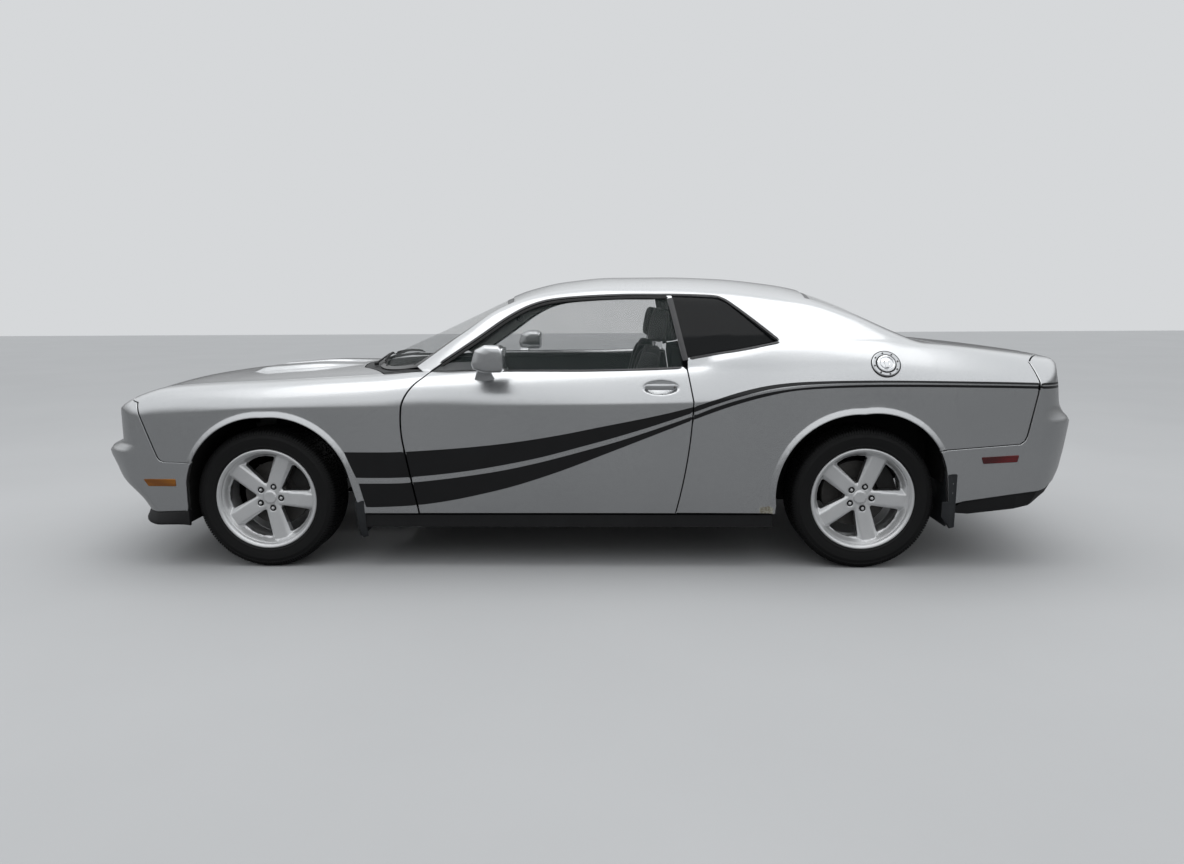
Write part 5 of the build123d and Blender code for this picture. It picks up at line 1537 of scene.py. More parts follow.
def make_wheels():
    face_shape = wheel_face()
    out = lambda profile, count: moved_shape(spun(profile, count), flip_y=True)  # y is the distance outwards
    washer = lofted([oval((LUG_CIRCLE, -y, 0), (r, 0, 0), (0, 0, r), 2, 24) for y,
            r in ((48, 16.0), (67.5, 16.0), (68.3, 15.0))])
    five = {"Count": 5, "Start": -SPOKE_ANGLES[0]}
    parts = (
        ("barrel", out(BARREL, 120), ALLOY),
        ("disc", joined(out(BRAKE, 96), out(BELL, 48)), IRON),
        ("nuts", repeated(RING_TREE, lug_nut(), ALLOY, **five), ALLOY),
        ("washers", repeated(RING_TREE, washer, PLASTIC, **five), PLASTIC),
        ("cap", out(CAP, 64), CAP_ALLOY),
    )
    tread = repeated(RING_TREE, tread_pitch(), RUBBER, Count=80, Start=0.0)
    rubber = joined(spun(CARCASS, 128), tread)
    for place, x in AXLES.items():
        name, hub = f"{place}_{{}}", (x, HUB_Y, HUB_Z)
        for side, flip in SIDES:
            verts, faces = moved_shape(face_shape[:2], hub, flip)
            normals = face_shape[2] * ([1, -1, 1] if flip else 1)
            face = make_mesh(f"wheel_{place}_{side}_spokes", verts, faces, [ALLOY], None, normals)
            ridden(face, f"wheel_{place}_{side}", f"rim_{place}_{side}")
        for part, shape, finish in parts:
            pair(f"wheel_{name}_{part}", f"wheel_{name}", moved_shape(shape, hub), finish, f"rim_{name}",
                sharp=30)
        pair(f"tyre_{name}_rubber", f"wheel_{name}", moved_shape(rubber, hub), RUBBER, f"tyre_{name}", sharp=28)
    print("wheels: faces on each", len(face_shape[1]) + len(rubber[1]))


make_wheels()

# %% [markdown]
# ## Glass, trims and seals
# Glass lies 6 mm under the skin. Windscreen and rear window have a black ceramic border baked on, cut into the mesh
# as the stripes are. Satin black trims run round the side windows, and a rubber seal runs along the top of the door
# window.

# %% Glass
ROOF_RING = Ring(700.0, roof_field)


def glass_panel(name, node, left_runs, border):
    """Pane over the runs of its left half and their mirror image, with a black border baked round it."""
    runs = [on_top(r, roof_field) for r in left_runs]
    runs += [other_side(r) for r in runs[::-1]]
    uv = ROOF_RING.lay(np.vstack(runs))
    uv, _ = thinned(uv, np.zeros(len(uv)))
    if not turned(uv):
        uv = uv[::-1]
    inner = [(ROOF_RING.lift(inset(uv, border)), 1)]
    ridden(panel(name, ROOF_RING, [(r, 1.0) for r in runs], [FRIT, GLASS, GLASS], inlays=inner, step=36,
            depth=4.5, lift=-6.0), "body", node)


def make_glass():
    front = [SCREEN_BASE + (2, 0), SCREEN_SIDE + (2, 2), SCREEN_TOP - (3, 0)]
    glass_panel("windscreen_pane", "windscreen", front, 34)
    back = [BACKLIGHT_TOP + (3, 0), BACKLIGHT_SIDE + (0, 2), BACKLIGHT_BASE - (3, 0)]
    glass_panel("rear_window_pane", "rear_window", back, 30)


def strip_on(name, body, line, width, material, field=roof_field, rise=2.0, taper=True):
    """Flat strip with rounded edges along points of the skin, and its mirror image."""
    p = np.asarray(line, float)
    n = slopes(field, p)
    across = np.cross(n, unit(np.gradient(p, axis=0))) * width / 2
    loops = []
    for i in range(len(p)):
        k = 0.35 if taper and i in (0, len(p) - 1) else 1.0
        h = rise * k
        rows = ((-1, -4), (-1, 0.4 * h), (-0.86, h), (0.86, h), (1, 0.4 * h), (1, -4))
        loops.append([p[i] + across[i] * (k * a) + n[i] * b for a, b in rows])
    pair(f"{name}_{{}}", body, lofted(loops), material, sharp=50)


def make_trims():
    # the satin frame round the door window and the quarter window, on the roof panel and the quarter panel
    top = WINDOW_TOP[4:]
    strip_on("window_trim_top", "body", on_side(moved(np.vstack([top, QUARTER_TOP[1:]]), 0, 5), skin), 14, TRIM,
        skin)
    base = QUARTER_BASE[::-1][1:]
    strip_on("window_trim_quarter", "body", on_side(moved(base, 0, -5), skin), 14, TRIM, skin)
    pillar = np.linspace((449, 1328), (514, 1028), 26)
    strip_on("pillar_trim", "body", on_side(pillar, roof_field), 27, TRIM, roof_field, rise=1.5, taper=False)
    x = np.arange(-722, 508, 16.0)
    belt = on_top(np.stack([x, -(measured(x, LINE_Y) + 11)], 1))
    strip_on("belt_trim", "door_{}", belt, 13, TRIM, lower_skin)
    strip_on("window_seal", "body", on_side(moved(top, 7, -9), roof_field), 16, SEAL, roof_field, rise=0.8)


make_glass()
make_trims()
print("glass and trims made")

# %% [markdown]
# ## Nose and tail fittings
# The nose has a wide slot with four round lamps in it, over a mesh grille, and a lower intake of the same mesh.
# Each lamp is a turned housing with a stepped reflector, a bulb shield and a domed lens. Side markers are set into
# the fasciae, amber in front and red behind, and the tail lamp fills the whole width of the tail.

# %% Grille and lamps
def disc_x(profile, centre, count=48):
    """Turned piece round an axis along X from a closed profile of (radius, x)."""
    return moved_shape(spun(profile, count, axis=0), centre)


def front_x(y, z):
    """Where the nose's skin is at (y, z)."""
    return on_end([(y, z)], -1)[0][0]


def bent_to_nose(shape, back):
    """Carries a flat fitting, drawn at x = 0, on to the nose, back mm behind its skin."""
    v, f = shape
    v = np.array(v, float)
    skin_x = on_end(np.stack([np.clip(v[:, 1], -800, 800), np.clip(v[:, 2], 250, 775)], 1), -1)[:, 0]
    v[:, 0] += skin_x + back
    return v, f


MESH_PITCH, WIRE_R = 15.0, 1.8


def wire(p, q):
    return rod_along(np.linspace(p, q, 6), WIRE_R, 6)


def make_grille():
    parts = []
    for y0, y1, z0, z1, back in ((-745, 745, 650, 776, 44), (-508, 508, 316, 458, 46)):
        high = z1 - z0
        row = {"Count": int((y1 - y0 - high) / MESH_PITCH), "Pitch": MESH_PITCH / 1000}
        ways = ((y0, y0 + high), (y0 + high, y0))
        wires = [repeated(ROW_TREE, wire((0, a, z0), (0, b, z1)), PLASTIC, sharp=35, **row) for a, b in ways]
        frame_bars = [rod_along(np.linspace((0, y0, z), (0, y1, z), 60), 5, 8) for z in (z0, z1)]
        parts.append(bent_to_nose(joined(*wires, *frame_bars), back))
    piece("grille_mesh", "body", joined(*parts), PLASTIC, "grille")
    # a black sheet, 4 mm thick, well behind the mesh, which closes the view into the engine bay: painted shade, a dark
    # sheet that stands in for the shade inside the bay
    ys, zs = np.linspace(-748, 748, 61), np.array([300.0, 380, 470, 560, 650, 700, 780])
    yy, zz = np.meshgrid(ys, zs, indexing="ij")
    n, m = len(zs), yy.size
    quads = [(k, k + 1, k + n + 1, k + n) for k in range(m - n) if (k + 1) % n]
    verts, quads = bent_to_nose((np.stack([np.zeros(m), yy.ravel(), zz.ravel()], 1), quads), 58)
    back = [tuple(i + m for i in quad[::-1]) for quad in quads]
    piece("grille_shade_sheet", "body", (np.vstack([verts, verts + [4, 0, 0]]), quads + back), PLASTIC)


def make_headlamps():
    shells, mirrors, lenses, rings = [], [], [], []
    for s in (-1, 1):
        for y, r in ((655.0, 57.0), (510.0, 54.0)):
            x = front_x(s * y, 717) + (26 if y > 600 else 18)
            c = (x, s * y, 717.0)
            shells.append(disc_x([(r, -6), (r - 4, -9), (r - 8, -6), (r - 9, 8), (r - 9, 40), (r - 4, 42),
                        (r, 34)], c))
            mirrors.append(disc_x([(r - 9, 4), (r - 14, 20), (r - 24, 32), (14, 42), (0.5, 42), (0.5, 44),
                        (14, 44), (r - 22, 35), (r - 12, 22), (r - 7, 5)], c))
            mirrors.append(disc_x([(0.5, 14), (9, 14), (12, 17), (12, 42), (0.5, 42)], c, 24))
            lenses.append(disc_x([(0.5, -6), (r * 0.4, -5), (r * 0.7, -2), (r - 9, 3), (r - 9, 5.5), (r * 0.7, 1),
                        (r * 0.4, -2.5), (0.5, -3.5)], c))
            rings.append(disc_x([(r - 12, 9), (r - 10, 5), (r - 8.5, 7), (r - 9, 11)], c))
    piece("headlamp_lenses", "body", joined(*lenses), LENS_GLASS, "headlamps")
    for name, shapes, m in (("headlamp_shells", shells, PLASTIC), ("headlamp_reflectors", mirrors, CHROME),
        ("headlamp_rings", rings, CHROME)):
        piece(name, "body", joined(*shapes), m)


LENS_GLASS = clear_glass("lamp_glass", (0.50, 0.52, 0.54), 0.12)
make_grille()
make_headlamps()
print("grille and lamps made")

# %% Markers, tail lamp and plates
LENS_HEM = 1.6


def make_markers():
    front = on_side(round_corners(np.array([(-2142, 421), (-2001, 421), (-2001, 459), (-2166, 459)], float), 5))
    rear = on_side(round_corners(np.array([(1922, 567), (2104, 576), (2097, 541), (1934, 533)], float), 5))
    for name, chart, loop, lens in (("front", NOSE_CHART, front, AMBER), ("rear", TAIL_CHART, rear, RED)):
        runs = [(loop, LENS_HEM)]
        both_sides(f"{name}_marker_{{}}", "body", [], chart, runs, [lens, PLASTIC], step=14, lift=2.0, depth=5)


def make_tail_lamp():
    y0, y1, z0, z1 = TAIL_LAMP
    loop = on_end(rounded(y0 + 3, y1 - 3, z0 + 3, z1 - 3, 17), 1)
    inner = [(on_end(rounded(a, b, z0 + 16, z1 - 16, 14), 1), k) for a, b,
        k in ((-775, -165, 1), (165, 775, 1), (-150, 150, 2))]
    finishes = [PLASTIC, RED, PLASTIC, PLASTIC]
    lamp = panel("tail_lamp", TAIL_CHART, [(loop, LENS_HEM)], finishes, inlays=inner, step=16, lift=-4.0,
        depth=10)
    ridden(lamp, "body", "tail_lamps")


def make_plates():
    blank = plain_finish("plate_enamel", (0.46, 0.47, 0.47), (0.56, 0.57, 0.57), 0.35, 300, 0.0001)
    z = 640.0
    x = on_end([(0, z)], 1)[0][0]
    back = slab(x + 1, x + 9, -156, 156, z - 78, z + 78, 3)
    piece("rear_plate", "body", back, blank)
    screws = [slab(x + 8, x + 12, sy * 89 - 6, sy * 89 + 6, z + sz * 58 - 6, z + sz * 58 + 6, 3)
        for sy in (-1, 1) for sz in (-1, 1)]
    piece("rear_plate_screws", "body", joined(*screws), STEEL)


make_markers()
make_tail_lamp()
make_plates()
print("markers, tail lamp and plate made")

# %% [markdown]
# ## Outside fittings
# Mirrors are lofted shells on a flared foot, with a real glass face. The pull handles bridge a dish in the door skin.
# The fuel cap is a turned cap in a bolted ring, laid flat on the shoulder of the left quarter panel.

# %% Mirrors, handles and fuel cap
MIRROR_SHAPE = round_corners(np.array([(-503, 1030), (-484, 1092), (-440, 1115), (-372, 1113), (-354, 1098),
            (-352, 996), (-362, 988), (-440, 987), (-494, 1004)], float), 11, 4)


def make_mirrors():
    eye = np.array((-353, 1050))  # which the shell's sections shrink towards
    rows = ((-1084, 0.50), (-1082, 0.74), (-1075, 0.90), (-1060, 0.975), (-1030, 1.0), (-970, 1.0), (-935, 0.95),
        (-915, 0.82), (-908, 0.60))
    loops = []
    for y, k in rows:
        loops.append(at_y(eye + (MIRROR_SHAPE - eye) * k, y))
    head = lofted(loops)
    foot = lofted([oval(c, (a, 0, t), (0, b, 0), 2.4, 24) for c, a, b, t in (
        ((-463, -878, 930), 55, 20, 3), ((-463, -880, 938), 54, 19, 3), ((-465, -889, 955), 45, 18, 3),
            ((-464, -902, 975), 38, 19, 2), ((-458, -922, 992), 35, 22, 1), ((-452, -938, 1004), 34, 24, 0))])
    gasket = lofted([oval((-463, -876, z), (a, 0, 3), (0, b, 0), 2.4, 24) for z, a,
            b in ((926, 57, 21), (931, 57.5, 22), (935, 56, 21))])
    glass = lofted([[(x, *p) for p in round_corners(
                    np.array([(-1072, 1000), (-1068, 1100), (-925, 1102), (-922, 999)], float) * k + np.array(
                        [-997, 1050]) * (1 - k), 12)] for x, k in ((-356, 1.0), (-350.5, 1.0), (-350, 0.98))])
    pair("mirror_shell_{}", "door_{}", joined(head, foot), PAINT, "mirror_{}", sharp=60)
    pair("mirror_gasket_{}", "door_{}", gasket, SEAL)
    pair("mirror_glass_{}", "door_{}", glass, MIRROR)


def make_handles():
    face = on_side([(300, 902), (484, 902)])[:, 1].mean()
    loops = []
    for x in np.linspace(316, 468, 17):
        t = abs(x - 392) / 76
        arch = -9 * (1 - t**2.5)
        k = 1 - 0.45 * max(0, (t - 0.86) / 0.14) ** 2
        loops.append(oval((x, face + arch, 905), (0, 6.0 * k, 0), (0, 0, 13.5 * k), 3.2, 20))
    grip = lofted(loops)
    ends = [rod_along([(x, face - 2, 904), (x, face + 8, 903), (x, face + 22, 902)], [8, 9, 10], 16)
        for x in (325, 459)]
    lock = spun([(0.5, 0), (4.2, 0), (5.4, 0.6), (6.0, 2.4), (0.5, 2.4)], 20)
    pair("door_pull_{}", "door_{}", joined(grip, *ends), SATIN, "handle_{}", sharp=50)
    pair("door_lock_{}", "door_{}", moved_shape(lock, (456, face - 10.5, 905)), STEEL)


def laid_on(shape, point, normal):
    """Carries a shape whose outward way is -Y to a point, facing along a normal."""
    n = unit(np.array(normal))
    u = unit(np.cross([0, 0, 1.0], n))
    w = np.cross(n, u)
    v = np.asarray(shape[0], float)
    return np.asarray(point) + np.outer(v[:, 0], -u) + np.outer(-v[:, 1], n) + np.outer(v[:, 2], w), shape[1]


def make_fuel_cap():
    at = on_side([(1460, 1012)], skin)
    n = slopes(skin, at, 40.0)[0]
    low = lambda profile: spun([(r, -h) for r, h in profile], 72)
    fit = lambda *shapes: joined(*[laid_on(s, at[0], n) for s in shapes])
    ring = low([(49, -6), (49, 2.5), (51, 4.5), (62, 4.5), (66, 2.0), (67, -2), (67, -9), (60, -9)])
    lid = low([(0.5, -6), (44, -6), (44, 4), (42, 8), (36, 10), (34, 8), (33, 4), (29, 4), (27, 9.5), (15, 11),
            (12, 9), (0.5, 9)])
    dark = low([(0.5, -9), (71, -9), (71, 0.4), (66, RIM), (50, RIM), (43, RIM), (0.5, RIM)])
    pull = slab(-9, 9, -16, -8, -26, 26, 3)
    bolt = lofted([oval((56.5, -y, 0), (r, 0, 0), (0, 0, r), 2, 6) for y,
            r in ((3.5, 4.4), (6.6, 4.4), (7.4, 3.2))])
    bolts = repeated(RING_TREE, bolt, DARK_STEEL, Count=8, Start=0.2)
    for name, shape, finish in (("ring", fit(ring), SATIN), ("lid", fit(lid, pull), CHROME),
        ("gasket", fit(dark), PLASTIC)):
        piece(f"fuel_cap_{name}", "body", shape, finish, "fuel_cap", sharp=30)
    piece("fuel_cap_bolts", "body", fit(bolts), DARK_STEEL, "fuel_cap")


SATIN = alloy("satin_alloy", (0.40, 0.41, 0.42), (0.58, 0.59, 0.60), 0.24)
make_mirrors()
make_handles()
make_fuel_cap()
print("mirrors, handles and fuel cap made")

# %% [markdown]
# Below the paint the car is black: a chin spoiler round the nose, liners over the wheels, mud flaps and sills. Wipers
# rest on the screen, a stub aerial stands at the foot of the rear window, and two exhaust pipes run under the floor.

# %% Spoiler, liners, wipers
def make_chin():
    loops = []
    for t in np.radians(np.linspace(-87.2, 87.2, 141)):
        way = [(-math.cos(t), math.sin(t), 0)]
        x = cast(lower_skin, [(-1900, 0, 275)], way, 100, 1500)[0][0]
        edge = np.interp(x, [-2345, -2250, -2190, -1953], [256, 271, 281, 294])
        low = np.interp(x, [-2340, -2200, -1953], [222, 226, 221])
        p = cast(lower_skin, [(-1900, 0, edge)], way, 100, 1500)[0]
        w = np.array(way[0])
        flare = 24 * ramp(88 - abs(math.degrees(t)), 0, 16)
        row = [(-4, edge + 6), (-2, edge - 2), (flare * 0.3, edge - 9), (flare * 0.7, low + 22),
            (flare, low + 12), (flare * 0.97, low + 5), (flare - 4, low + 1), (flare - 12, low),
            (flare - 17, low + 6), (-20, edge - 20), (-20, edge + 6)]
        loops.append([p * [1, 1, 0] + w * u + [0, 0, z] for u, z in row])
    piece("chin_spoiler_skirt", "body", lofted(loops), PLASTIC, "chin_spoiler", sharp=50)


LINER_Y = -704  # how far in the liners go


def make_liners():
    n = left_of(FRONT_ARCH)
    kept = (FRONT_ARCH[:, 1] > 245) | ((FRONT_ARCH[:, 0] < -1500) & (FRONT_ARCH[:, 1] > 221))
    line = (FRONT_ARCH + n * 9)[kept]
    rows = []
    for (x, z), (nx, nz) in zip(line, n[kept]):
        y = on_side([(x, max(z, 262))])[0][1] + 17
        rib = 2.0 if len(rows) % 6 < 3 else 0.0
        rows.append([(x + nx * (d + rib), yy, z + nz * (d + rib)) for yy,
                d in ((y, 0), (LINER_Y, 0), (LINER_Y, 3), (y, 3))])
    # an inner wall behind each rear wheel, and a bulkhead and a tray that close the view under the nose; the bulkhead
    # and the tray are painted shade, black sheets that stand in for the shade under the car
    walls_and_shade_sheets = [slab(1040, 1720, -668, -664, 430, 740, 2), slab(-2010, -2004, -700, 0, 212, 560, 2),
        slab(-2230, -1700, -430, 0, 206, 212, 2)]
    shape = joined(lofted(rows), *walls_and_shade_sheets)
    pair("wheel_liner_{}", "body", shape, COATING)


def make_wipers():
    shapes, blades = [], []
    for a, b, root in (((-1052, -500), (-1122, -30), (-1128, -400)), ((-1132, 40), (-1060, 480), (-1184, 100))):
        line = np.linspace(a, b, 18)
        p = on_top(line, roof_field)
        blades.append(rod_along(p + slopes(roof_field, p) * 3.0, 3.6, 8))
        blades.append(rod_along(p[1:-1] + slopes(roof_field, p)[1:-1] * 9.0, [3.5] + [5.0] * 14 + [3.5], 8))
        hub = on_top([root], roof_field)[0]
        mid = p[9] + slopes(roof_field, p)[9] * 11
        arm = [hub + [0, 0, 2], hub * 0.8 + mid * 0.2 + [0, 0, 5], hub * 0.5 + mid * 0.5 + [0, 0, 3], mid]
        shapes += [rod_along(bend(*arm), 5.0, 8), pivot(hub)]
    piece("wiper_blades", "body", joined(*blades), SEAL)
    piece("wiper_arms", "body", joined(*shapes), PLASTIC)


def pivot(at):
    """Low round boss that stands on a point."""
    rows = ((-6, 12.0), (7.2, 12.0), (10.8, 10.2), (12.0, 6.0))
    return lofted([oval(at + [0, 0, z], (r, 0, 0), (0, r, 0), 2, 24) for z, r in rows])


def make_aerial():
    base = on_top([(1727, 0)], skin)[0]
    fin = lofted([oval(base + [x, 0, z], (12 * k, 0, 0), (0, 8 * k, 0), 2, 24) for x, z,
            k in ((0, -4, 1), (0, 5, 0.96), (2, 11, 0.8), (4, 15, 0.5))])
    piece("aerial", "body", fin, PLASTIC, sharp=60)


FLAP_EDGES = {
    "front": [(-1112, 350), (-1068, 350), (-1064, 160), (-1090, 152), (-1101, 170)],
    "rear": [(1764, 484), (1815, 484), (1826, 212), (1800, 208), (1754, 270), (1752, 345), (1778, 350)],
}


def make_flaps():
    """A sheet across the back of each wheel, and the flange of it that shows from the side."""
    shapes = []
    for x, y0, y1, z0, z1 in ((-1104, -926, -700, 156, 350), (1786.5, -930, -690, 211, 480)):
        outline = round_corners(np.array([(y0, z1), (y0, z0 + 40), (y0 + 34, z0), (y1, z0), (y1, z1)], float), 7)
        outline = np.vstack([np.linspace(a, b, max(2, int(math.dist(a, b) / 12)), endpoint=False) for a,
                b in zip(outline, np.roll(outline, -1, 0))])
        c = outline.mean(0)
        shapes.append(lofted([[(x + dx, *q) for q in c + (outline - c) * k] for dx,
                    k in ((0, 0.985), (1.5, 1.0), (7.5, 1.0), (9.5, 0.985))]))
        for z in (z1 - 30, z1 - 85):
            shapes.append(disc_x([(0.5, 8), (9, 8), (9, 13), (6, 15.5), (0.5, 16)], (x - 4, y0 + 44, z), 20))
    both = joined(*[moved_shape(s, flip_y=flip) for s in shapes for flip in (False, True)])
    piece("mud_flap_sheets", "body", both, FLAP_RUBBER, "mud_flaps", sharp=40)
    for place, edge in FLAP_EDGES.items():
        loop = on_side(round_corners(np.array(edge, float), 5))
        name, chart = f"mud_flap_{place}_flange_{{}}", Ring(300.0, lower_skin)
        both_sides(name, "body", [], chart, [(loop, LENS_HEM)], [FLAP_RUBBER] * 2, step=14, lift=2.5, depth=6)


def make_exhaust():
    """Two pipes along the floor, each to an oval muffler behind the valance with a short tail."""
    tail = [(24, 0), (30, 0), (30, 110), (32, 118), (29, 120), (27, 112), (24, 100)]
    shapes = []
    for s in (-1, 1):
        way = [(-1330, 190, 330), (-1180, 190, 225), (-1000, 190, 206), (0, 190, 206), (1480, 190, 206),
            (1620, 290, 232), (1760, 480, 266), (1850, 520, 272)]
        shapes.append(rod_along(bend(*[(x, s * y, z) for x, y, z in way], step=40), 28, 16))
        shapes.append(lofted([oval((x, s * 520, 272), (0, 150 * k, 0), (0, 0, 43 * k), 2.4, 32) for x,
                    k in ((1838, 0.3), (1841, 0.92), (1852, 1), (2168, 1), (2179, 0.92), (2182, 0.3))]))
        shapes.append(disc_x(tail, (2178, s * 520, 268), 32))
    piece("exhaust_system", "body", joined(*shapes), DARK_STEEL, "exhaust", sharp=50)


make_chin()
make_liners()
make_wipers()
make_aerial()
make_flaps()
make_exhaust()
print("spoiler, liners, wipers and flaps made")

# %% [markdown]
# ## Cabin
# The cabin shows through tinted glass. Seats are padded: each cushion is a crowned form with sewn channels pressed
# into it, and bolsters at its sides. They are modelled by moving the points of a rounded form, which keeps the
# channels exact; a cloth simulation would blur them at this scale.

# %% Seats
def pad_shape(half, channels=(), power=0.34, crown=0.10):
    """Rounded cushion; channels are seam places along X, as a share of the half length."""
    a, b, c = half
    u = np.linspace(0, 2 * math.pi, 56, endpoint=False)
    rows = []
    for w in np.linspace(-1, 1, 30):
        ang = w * math.pi / 2
        k = math.cos(ang) ** 0.30 if abs(w) < 1 else 0.02
        y = b * (1 if w > 0 else -1) * abs(math.sin(ang)) ** 0.62
        x = a * np.sign(np.cos(u)) * abs(np.cos(u)) ** power * k
        z = c * np.sign(np.sin(u)) * abs(np.sin(u)) ** power * k
        swell = 1 + crown * (1 - (x / a) ** 2) * (1 - (y / b) ** 2)
        z = z * swell
        for place in channels:
            z = np.where(z > 0, z - 7 * np.exp(-(((x / a - place) * a) / 7) ** 2) * (abs(y) < b * 0.72), z)
        rows.append(at_y(np.stack([x, z], 1), y))
    return lofted(rows)


def tilted(shape, at, lean):
    """Turns a pad about Y by lean degrees, then carries it to its place."""
    c, s = math.cos(math.radians(lean)), math.sin(math.radians(lean))
    v = shape[0]
    return np.stack([v[:, 0] * c + v[:, 2] * s, v[:, 1], -v[:, 0] * s + v[:, 2] * c], 1) + at, shape[1]


def seat_cloth():
    """Woven seat cloth, dark grey, with a raised thread every millimetre and a half."""
    f = Finish("seat_cloth", Roughness=0.9, Sheen_Weight=0.25)
    x, y, z = f.place("X"), f.place("Y"), f.place("Z")
    warp, weft = ((y + z * 0.4) * 4200).wave(), ((x + z * 0.7) * 4200).wave()
    weave = (warp * weft) * 0.5 + 0.5
    wear = f.noise(5, 4)
    f.set(Base_Color=f.shades(0.6 * weave + 0.4 * wear, (0.014, 0.014, 0.015), (0.055, 0.055, 0.058)),
        Roughness=0.8 + 0.15 * weave, Normal=f.bumped(weave, 0.0006))
    return f.material


CLOTH = seat_cloth()
GRAINED = plain_finish("grained_trim", (0.020, 0.021, 0.022), (0.042, 0.043, 0.045), 0.58, 1300, 0.0006)


def padded(name, shape, *nodes):
    made = piece(name, "body", shape, CLOTH, *nodes, sharp=70)
    return made


def make_seats():
    for side, flip in SIDES:
        node = f"front_seat_{side}"
        fit = lambda s: moved_shape(s, flip_y=flip)
        pan = joined(tilted(pad_shape((245, 190, 62), (-0.55, -0.2, 0.15, 0.5)), (15, -400, 372), -4),
                     *[tilted(pad_shape((235, 48, 68), power=0.5), (10, -400 + d, 385), -4) for d in (-186, 186)])
        rest = joined(tilted(pad_shape((320, 175, 52), (-0.6, -0.25, 0.1, 0.45)), (318, -400, 765), -80),
                      *[tilted(pad_shape((300, 44, 62), power=0.5), (306, -400 + d, 755), -80)
                          for d in (-180, 180)])
        head = tilted(pad_shape((88, 125, 42), power=0.45), (402, -400, 1188), -80)
        padded(f"seat_cushion_{side}", fit(pan), node)
        padded(f"seat_back_{side}", fit(rest), node)
        padded(f"head_restraint_{side}", fit(head), node)
        posts = [rod_along([(368, -400 + d, 1040), (378, -400 + d, 1080), (388, -400 + d, 1130)], 6, 12)
            for d in (-60, 60)]
        rails = [slab(-200, 190, -400 + d - 14, -400 + d + 14, 254, 312, 5) for d in (-150, 150)]
        piece(f"seat_posts_{side}", "body", fit(joined(*posts)), CHROME)
        piece(f"seat_rails_{side}", "body", fit(joined(*rails, slab(-170, 170, -560, -240, 292, 318, 6))),
            PLASTIC)
    bench = joined(*[tilted(pad_shape((190, 280, 58), (-0.4, 0.1, 0.5)), (962, s * 300, 508), -3)
            for s in (-1, 1)],
                   tilted(pad_shape((60, 590, 120), power=0.3, crown=0.03), (835, 0, 400), 0))
    rest = joined(*[tilted(pad_shape((225, 280, 52), (-0.45, 0.0, 0.45)), (1150, s * 300, 775), -78)
            for s in (-1, 1)])
    padded("rear_seat_cushion", bench, "rear_seat")
    padded("rear_seat_back", rest, "rear_seat")


make_seats()

# %% Dashboard, wheel and door cards
def make_dash():
    shape = np.array([(-985, 560), (-985, 880), (-900, 925), (-640, 948), (-566, 905), (-545, 800), (-625, 620),
            (-700, 562)], float)
    loops = []
    for y in np.linspace(-735, 735, 71):
        hood = math.exp(-(((y + 365) / 150) ** 4))
        stack = math.exp(-((y / 150) ** 4))
        p = shape.copy()
        p[3] += (0, -14 + 16 * hood)
        p[4] += (16 + 26 * hood - 10 * stack, 8 + 24 * hood)
        p[5] += (-14 * hood + 4, 0)
        p[6] += (70 * stack, -20 * stack)
        p[7] += (90 * stack, 0)
        k = 1 - 0.04 * (abs(y) / 735) ** 8
        loops.append(at_y(round_corners(p * [1, k], 20, 4), y))
    piece("dashboard_top", "body", lofted(loops), GRAINED, "dashboard", sharp=50)
    faces = []
    for y, r in ((-430, 46), (-300, 46), (-365, 20), (0, 44), (-110, 30), (110, 30), (650, 40), (-650, 40)):
        z, x = (872, -566) if y < -250 and y > -500 else (842, -556)
        faces.append(disc_x([(0.5, 0), (r, 0), (r, 10), (r - 3, 14), (r - 7, 14), (r - 8, 6), (0.5, 5)],
                (x - 4, y, z), 36))
    piece("dashboard_rings", "body", joined(*faces), SATIN)


def make_steering():
    centre, w = np.array([-440, -365, 860.0]), np.array(
        [math.cos(math.radians(24)), 0, math.sin(math.radians(24))])
    u = np.array([0, 1.0, 0])
    v = np.cross(w, u)
    place = lambda s: (centre + np.outer(s[0][:, 0], u) + np.outer(s[0][:, 2], v) + np.outer(s[0][:, 1], w), s[1])
    a = np.arange(16) * math.pi / 8
    rim = spun([(178 + 14.5 * math.cos(t), 15 * math.sin(t)) for t in a], 96)
    hub = spun([(0.5, 30), (40, 27), (54, 18), (58, 4), (54, -16), (0.5, -16)][::-1], 48)
    way = lambda t: [(r * math.cos(t), y, r * math.sin(t)) for r, y in ((40, 6), (100, 2), (172, 0))]
    spokes = [rod_along(way(t), [22, 15, 17], 12) for t in np.radians([200, -20, -90])]
    column = rod_along([centre - w * 14, centre - w * 60, centre - w * 118], [30, 34, 38], 20)
    piece("steering_wheel_rim", "body", joined(place(rim)), GRAINED, "steering_wheel", sharp=60)
    piece("steering_wheel_spokes", "body", joined(place(hub), *[place(s) for s in spokes], column), GRAINED,
        sharp=50)


def make_door_cards():
    front, rear = moved(DOOR_FRONT, 14), moved(DOOR_REAR, -12)
    rear, front = rear[rear[:, 1] < 955], front[front[:, 1] < 955]
    outline = np.vstack([front[front[:, 1] > 300], path((-730, 972), (505, 972)), rear[rear[:, 1] > 300][::-1],
            path((455, 298), (-780, 298))])
    c = outline.mean(0)
    rows = [on_side(outline) + [0, 13.0, 0]]
    for y, k in ((-812, 1.0), (-799, 0.995), (-795, 0.985), (-795, 0.93), (-805, 0.91), (-805, 0.6)):
        rows.append(at_y(c + (outline - c) * k, y))
    card = lofted(rows)
    rest = lofted([oval((x, -800, 700), (0, 16 * k, 0), (0, 0, 26 * k), 3, 20) for x,
            k in zip(np.linspace(-420, 260, 15), [0.5, 0.8, 0.95] + [1.0] * 9 + [0.95, 0.8, 0.5])])
    pair("door_card_{}", "door_{}", joined(card, rest), GRAINED, sharp=40)


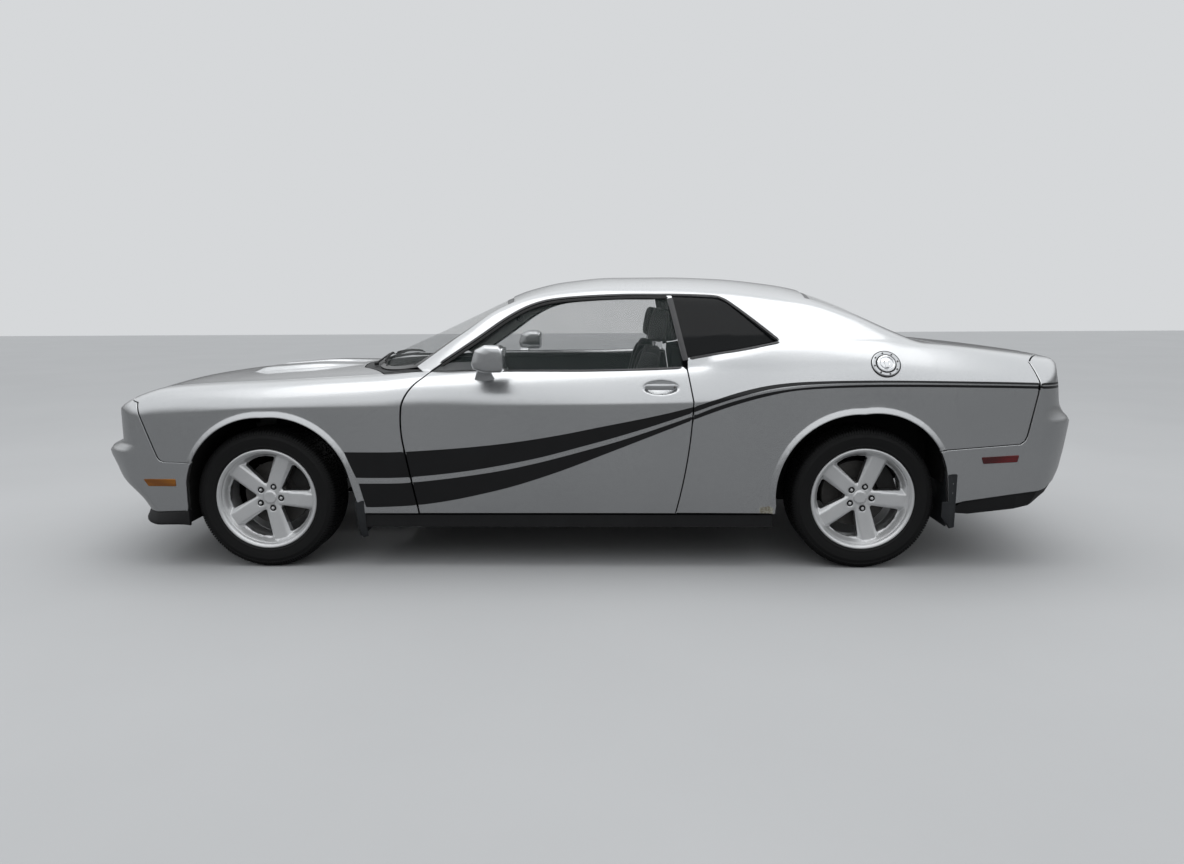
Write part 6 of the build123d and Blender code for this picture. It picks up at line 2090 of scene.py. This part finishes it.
def make_mats():
    shapes = [slab(x0, x1, y0, y1, 254, 262, 3) for x0, x1 in ((-880, -290), (500, 760)) for y0,
        y1 in ((-680, -160), (160, 680))]
    piece("floor_mats", "body", joined(*shapes), CARPET)


def make_inner_mirror():
    head = lofted([oval((x, -40, 1235), (0, 112 * k, 0), (0, 0, 34 * k), 3, 32) for x,
            k in ((-392, 0.85), (-388, 1.0), (-372, 1.0), (-368, 0.93))])
    stalk = rod_along(bend((-385, -40, 1240), (-402, -40, 1268), (-420, -40, 1296)), 7, 10)
    piece("rear_view_mirror", "body", joined(head, stalk), PLASTIC, sharp=50)


make_dash()
make_steering()
make_door_cards()
make_mats()
make_inner_mirror()
print("cabin made")

# %% [markdown]
# ## Plain solids that stay
# The rest of the CAD parts have the right shape and only need their own finish.

# %% Finishes for what stays
STAYING = {
    GRAINED: ("console", "parcel_shelf", "side_trims"),
    COATING: ("boot_tub", "floor_pan", "front_structure", "wheelhouses"),
    PLASTIC: ("cowl", "rear_valance", "sills"),
    CAST: ("engine_block", "front_subframe"),
    DARK_CAST: ("front_struts", "knuckle_left", "knuckle_right", "rear_axle"),
    GLASS: ("door_glass_left", "door_glass_right"),
    DARK_GLASS: ("quarter_glass",),
}
for finish, names in STAYING.items():
    for name in names:
        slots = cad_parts[name].data.materials
        for i in range(len(slots)):
            slots[i] = finish
print("finished", sum(len(n) for n in STAYING.values()), "parts as they are")

# %% [markdown]
# ## Studio
# A plain pale floor, one large soft light overhead and a pale surround.

# %% Floor and light
def studio(reach=30000):
    """A square floor that reaches this far from the middle, an overhead lamp and a surround."""
    corners = [(-reach, -reach, 0), (reach, -reach, 0), (reach, reach, 0), (-reach, reach, 0)]
    floor = make_mesh("floor", corners, [(0, 1, 2, 3)], [])
    f = Finish("studio_floor")
    seen = f.add("LightPath", out="Is Camera Ray")
    grey = f.shades(f.noise(0.6, 5), (0.40, 0.405, 0.41), (0.45, 0.455, 0.46))
    shown = f.add("Mix", {"data_type": "RGBA"}, {"Factor": seen, 6: (0.17, 0.172, 0.175, 1), 7: grey}, 2)
    f.set(Base_Color=shown, Roughness=0.75)
    floor.data.materials.append(f.material)
    floor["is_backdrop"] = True
    world = Finish("surround", "worlds", "Background")
    up = world.add("SeparateXYZ", {}, {0: world.add("TexCoord", out="Generated")}, 2)
    glow = world.add("MapRange", {}, {0: up, 1: 0.02, 2: 0.50, 3: 0.15, 4: 1.10})  # brighter overhead
    seen = world.add("LightPath", out="Is Camera Ray")
    world.set(Color=(0.96, 0.98, 1.0), Strength=world.add("Mix", {}, {0: seen, 2: glow, 3: 0.70}))
    bpy.context.scene.world = world.material
    lamp = bpy.data.objects.new("overhead", bpy.data.lights.new("overhead", "AREA"))
    lamp.data.shape, lamp.data.size, lamp.data.size_y, lamp.data.energy = "RECTANGLE", 8, 5, 160
    lamp.location = (0, -0.5, 6.0)
    lamp.rotation_euler = (Vector((0, 0, 0.6)) - lamp.location).to_track_quat("-Z", "Y").to_euler()
    bpy.context.scene.collection.objects.link(lamp)


studio()
bpy.context.scene.view_settings.view_transform = "Standard"
low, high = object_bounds()
{"cad": [list(v) for v in cad_box], "visual": [list(low), list(high)]}
print("visual box", [round(v, 4) for v in low], [round(v, 4) for v in high])
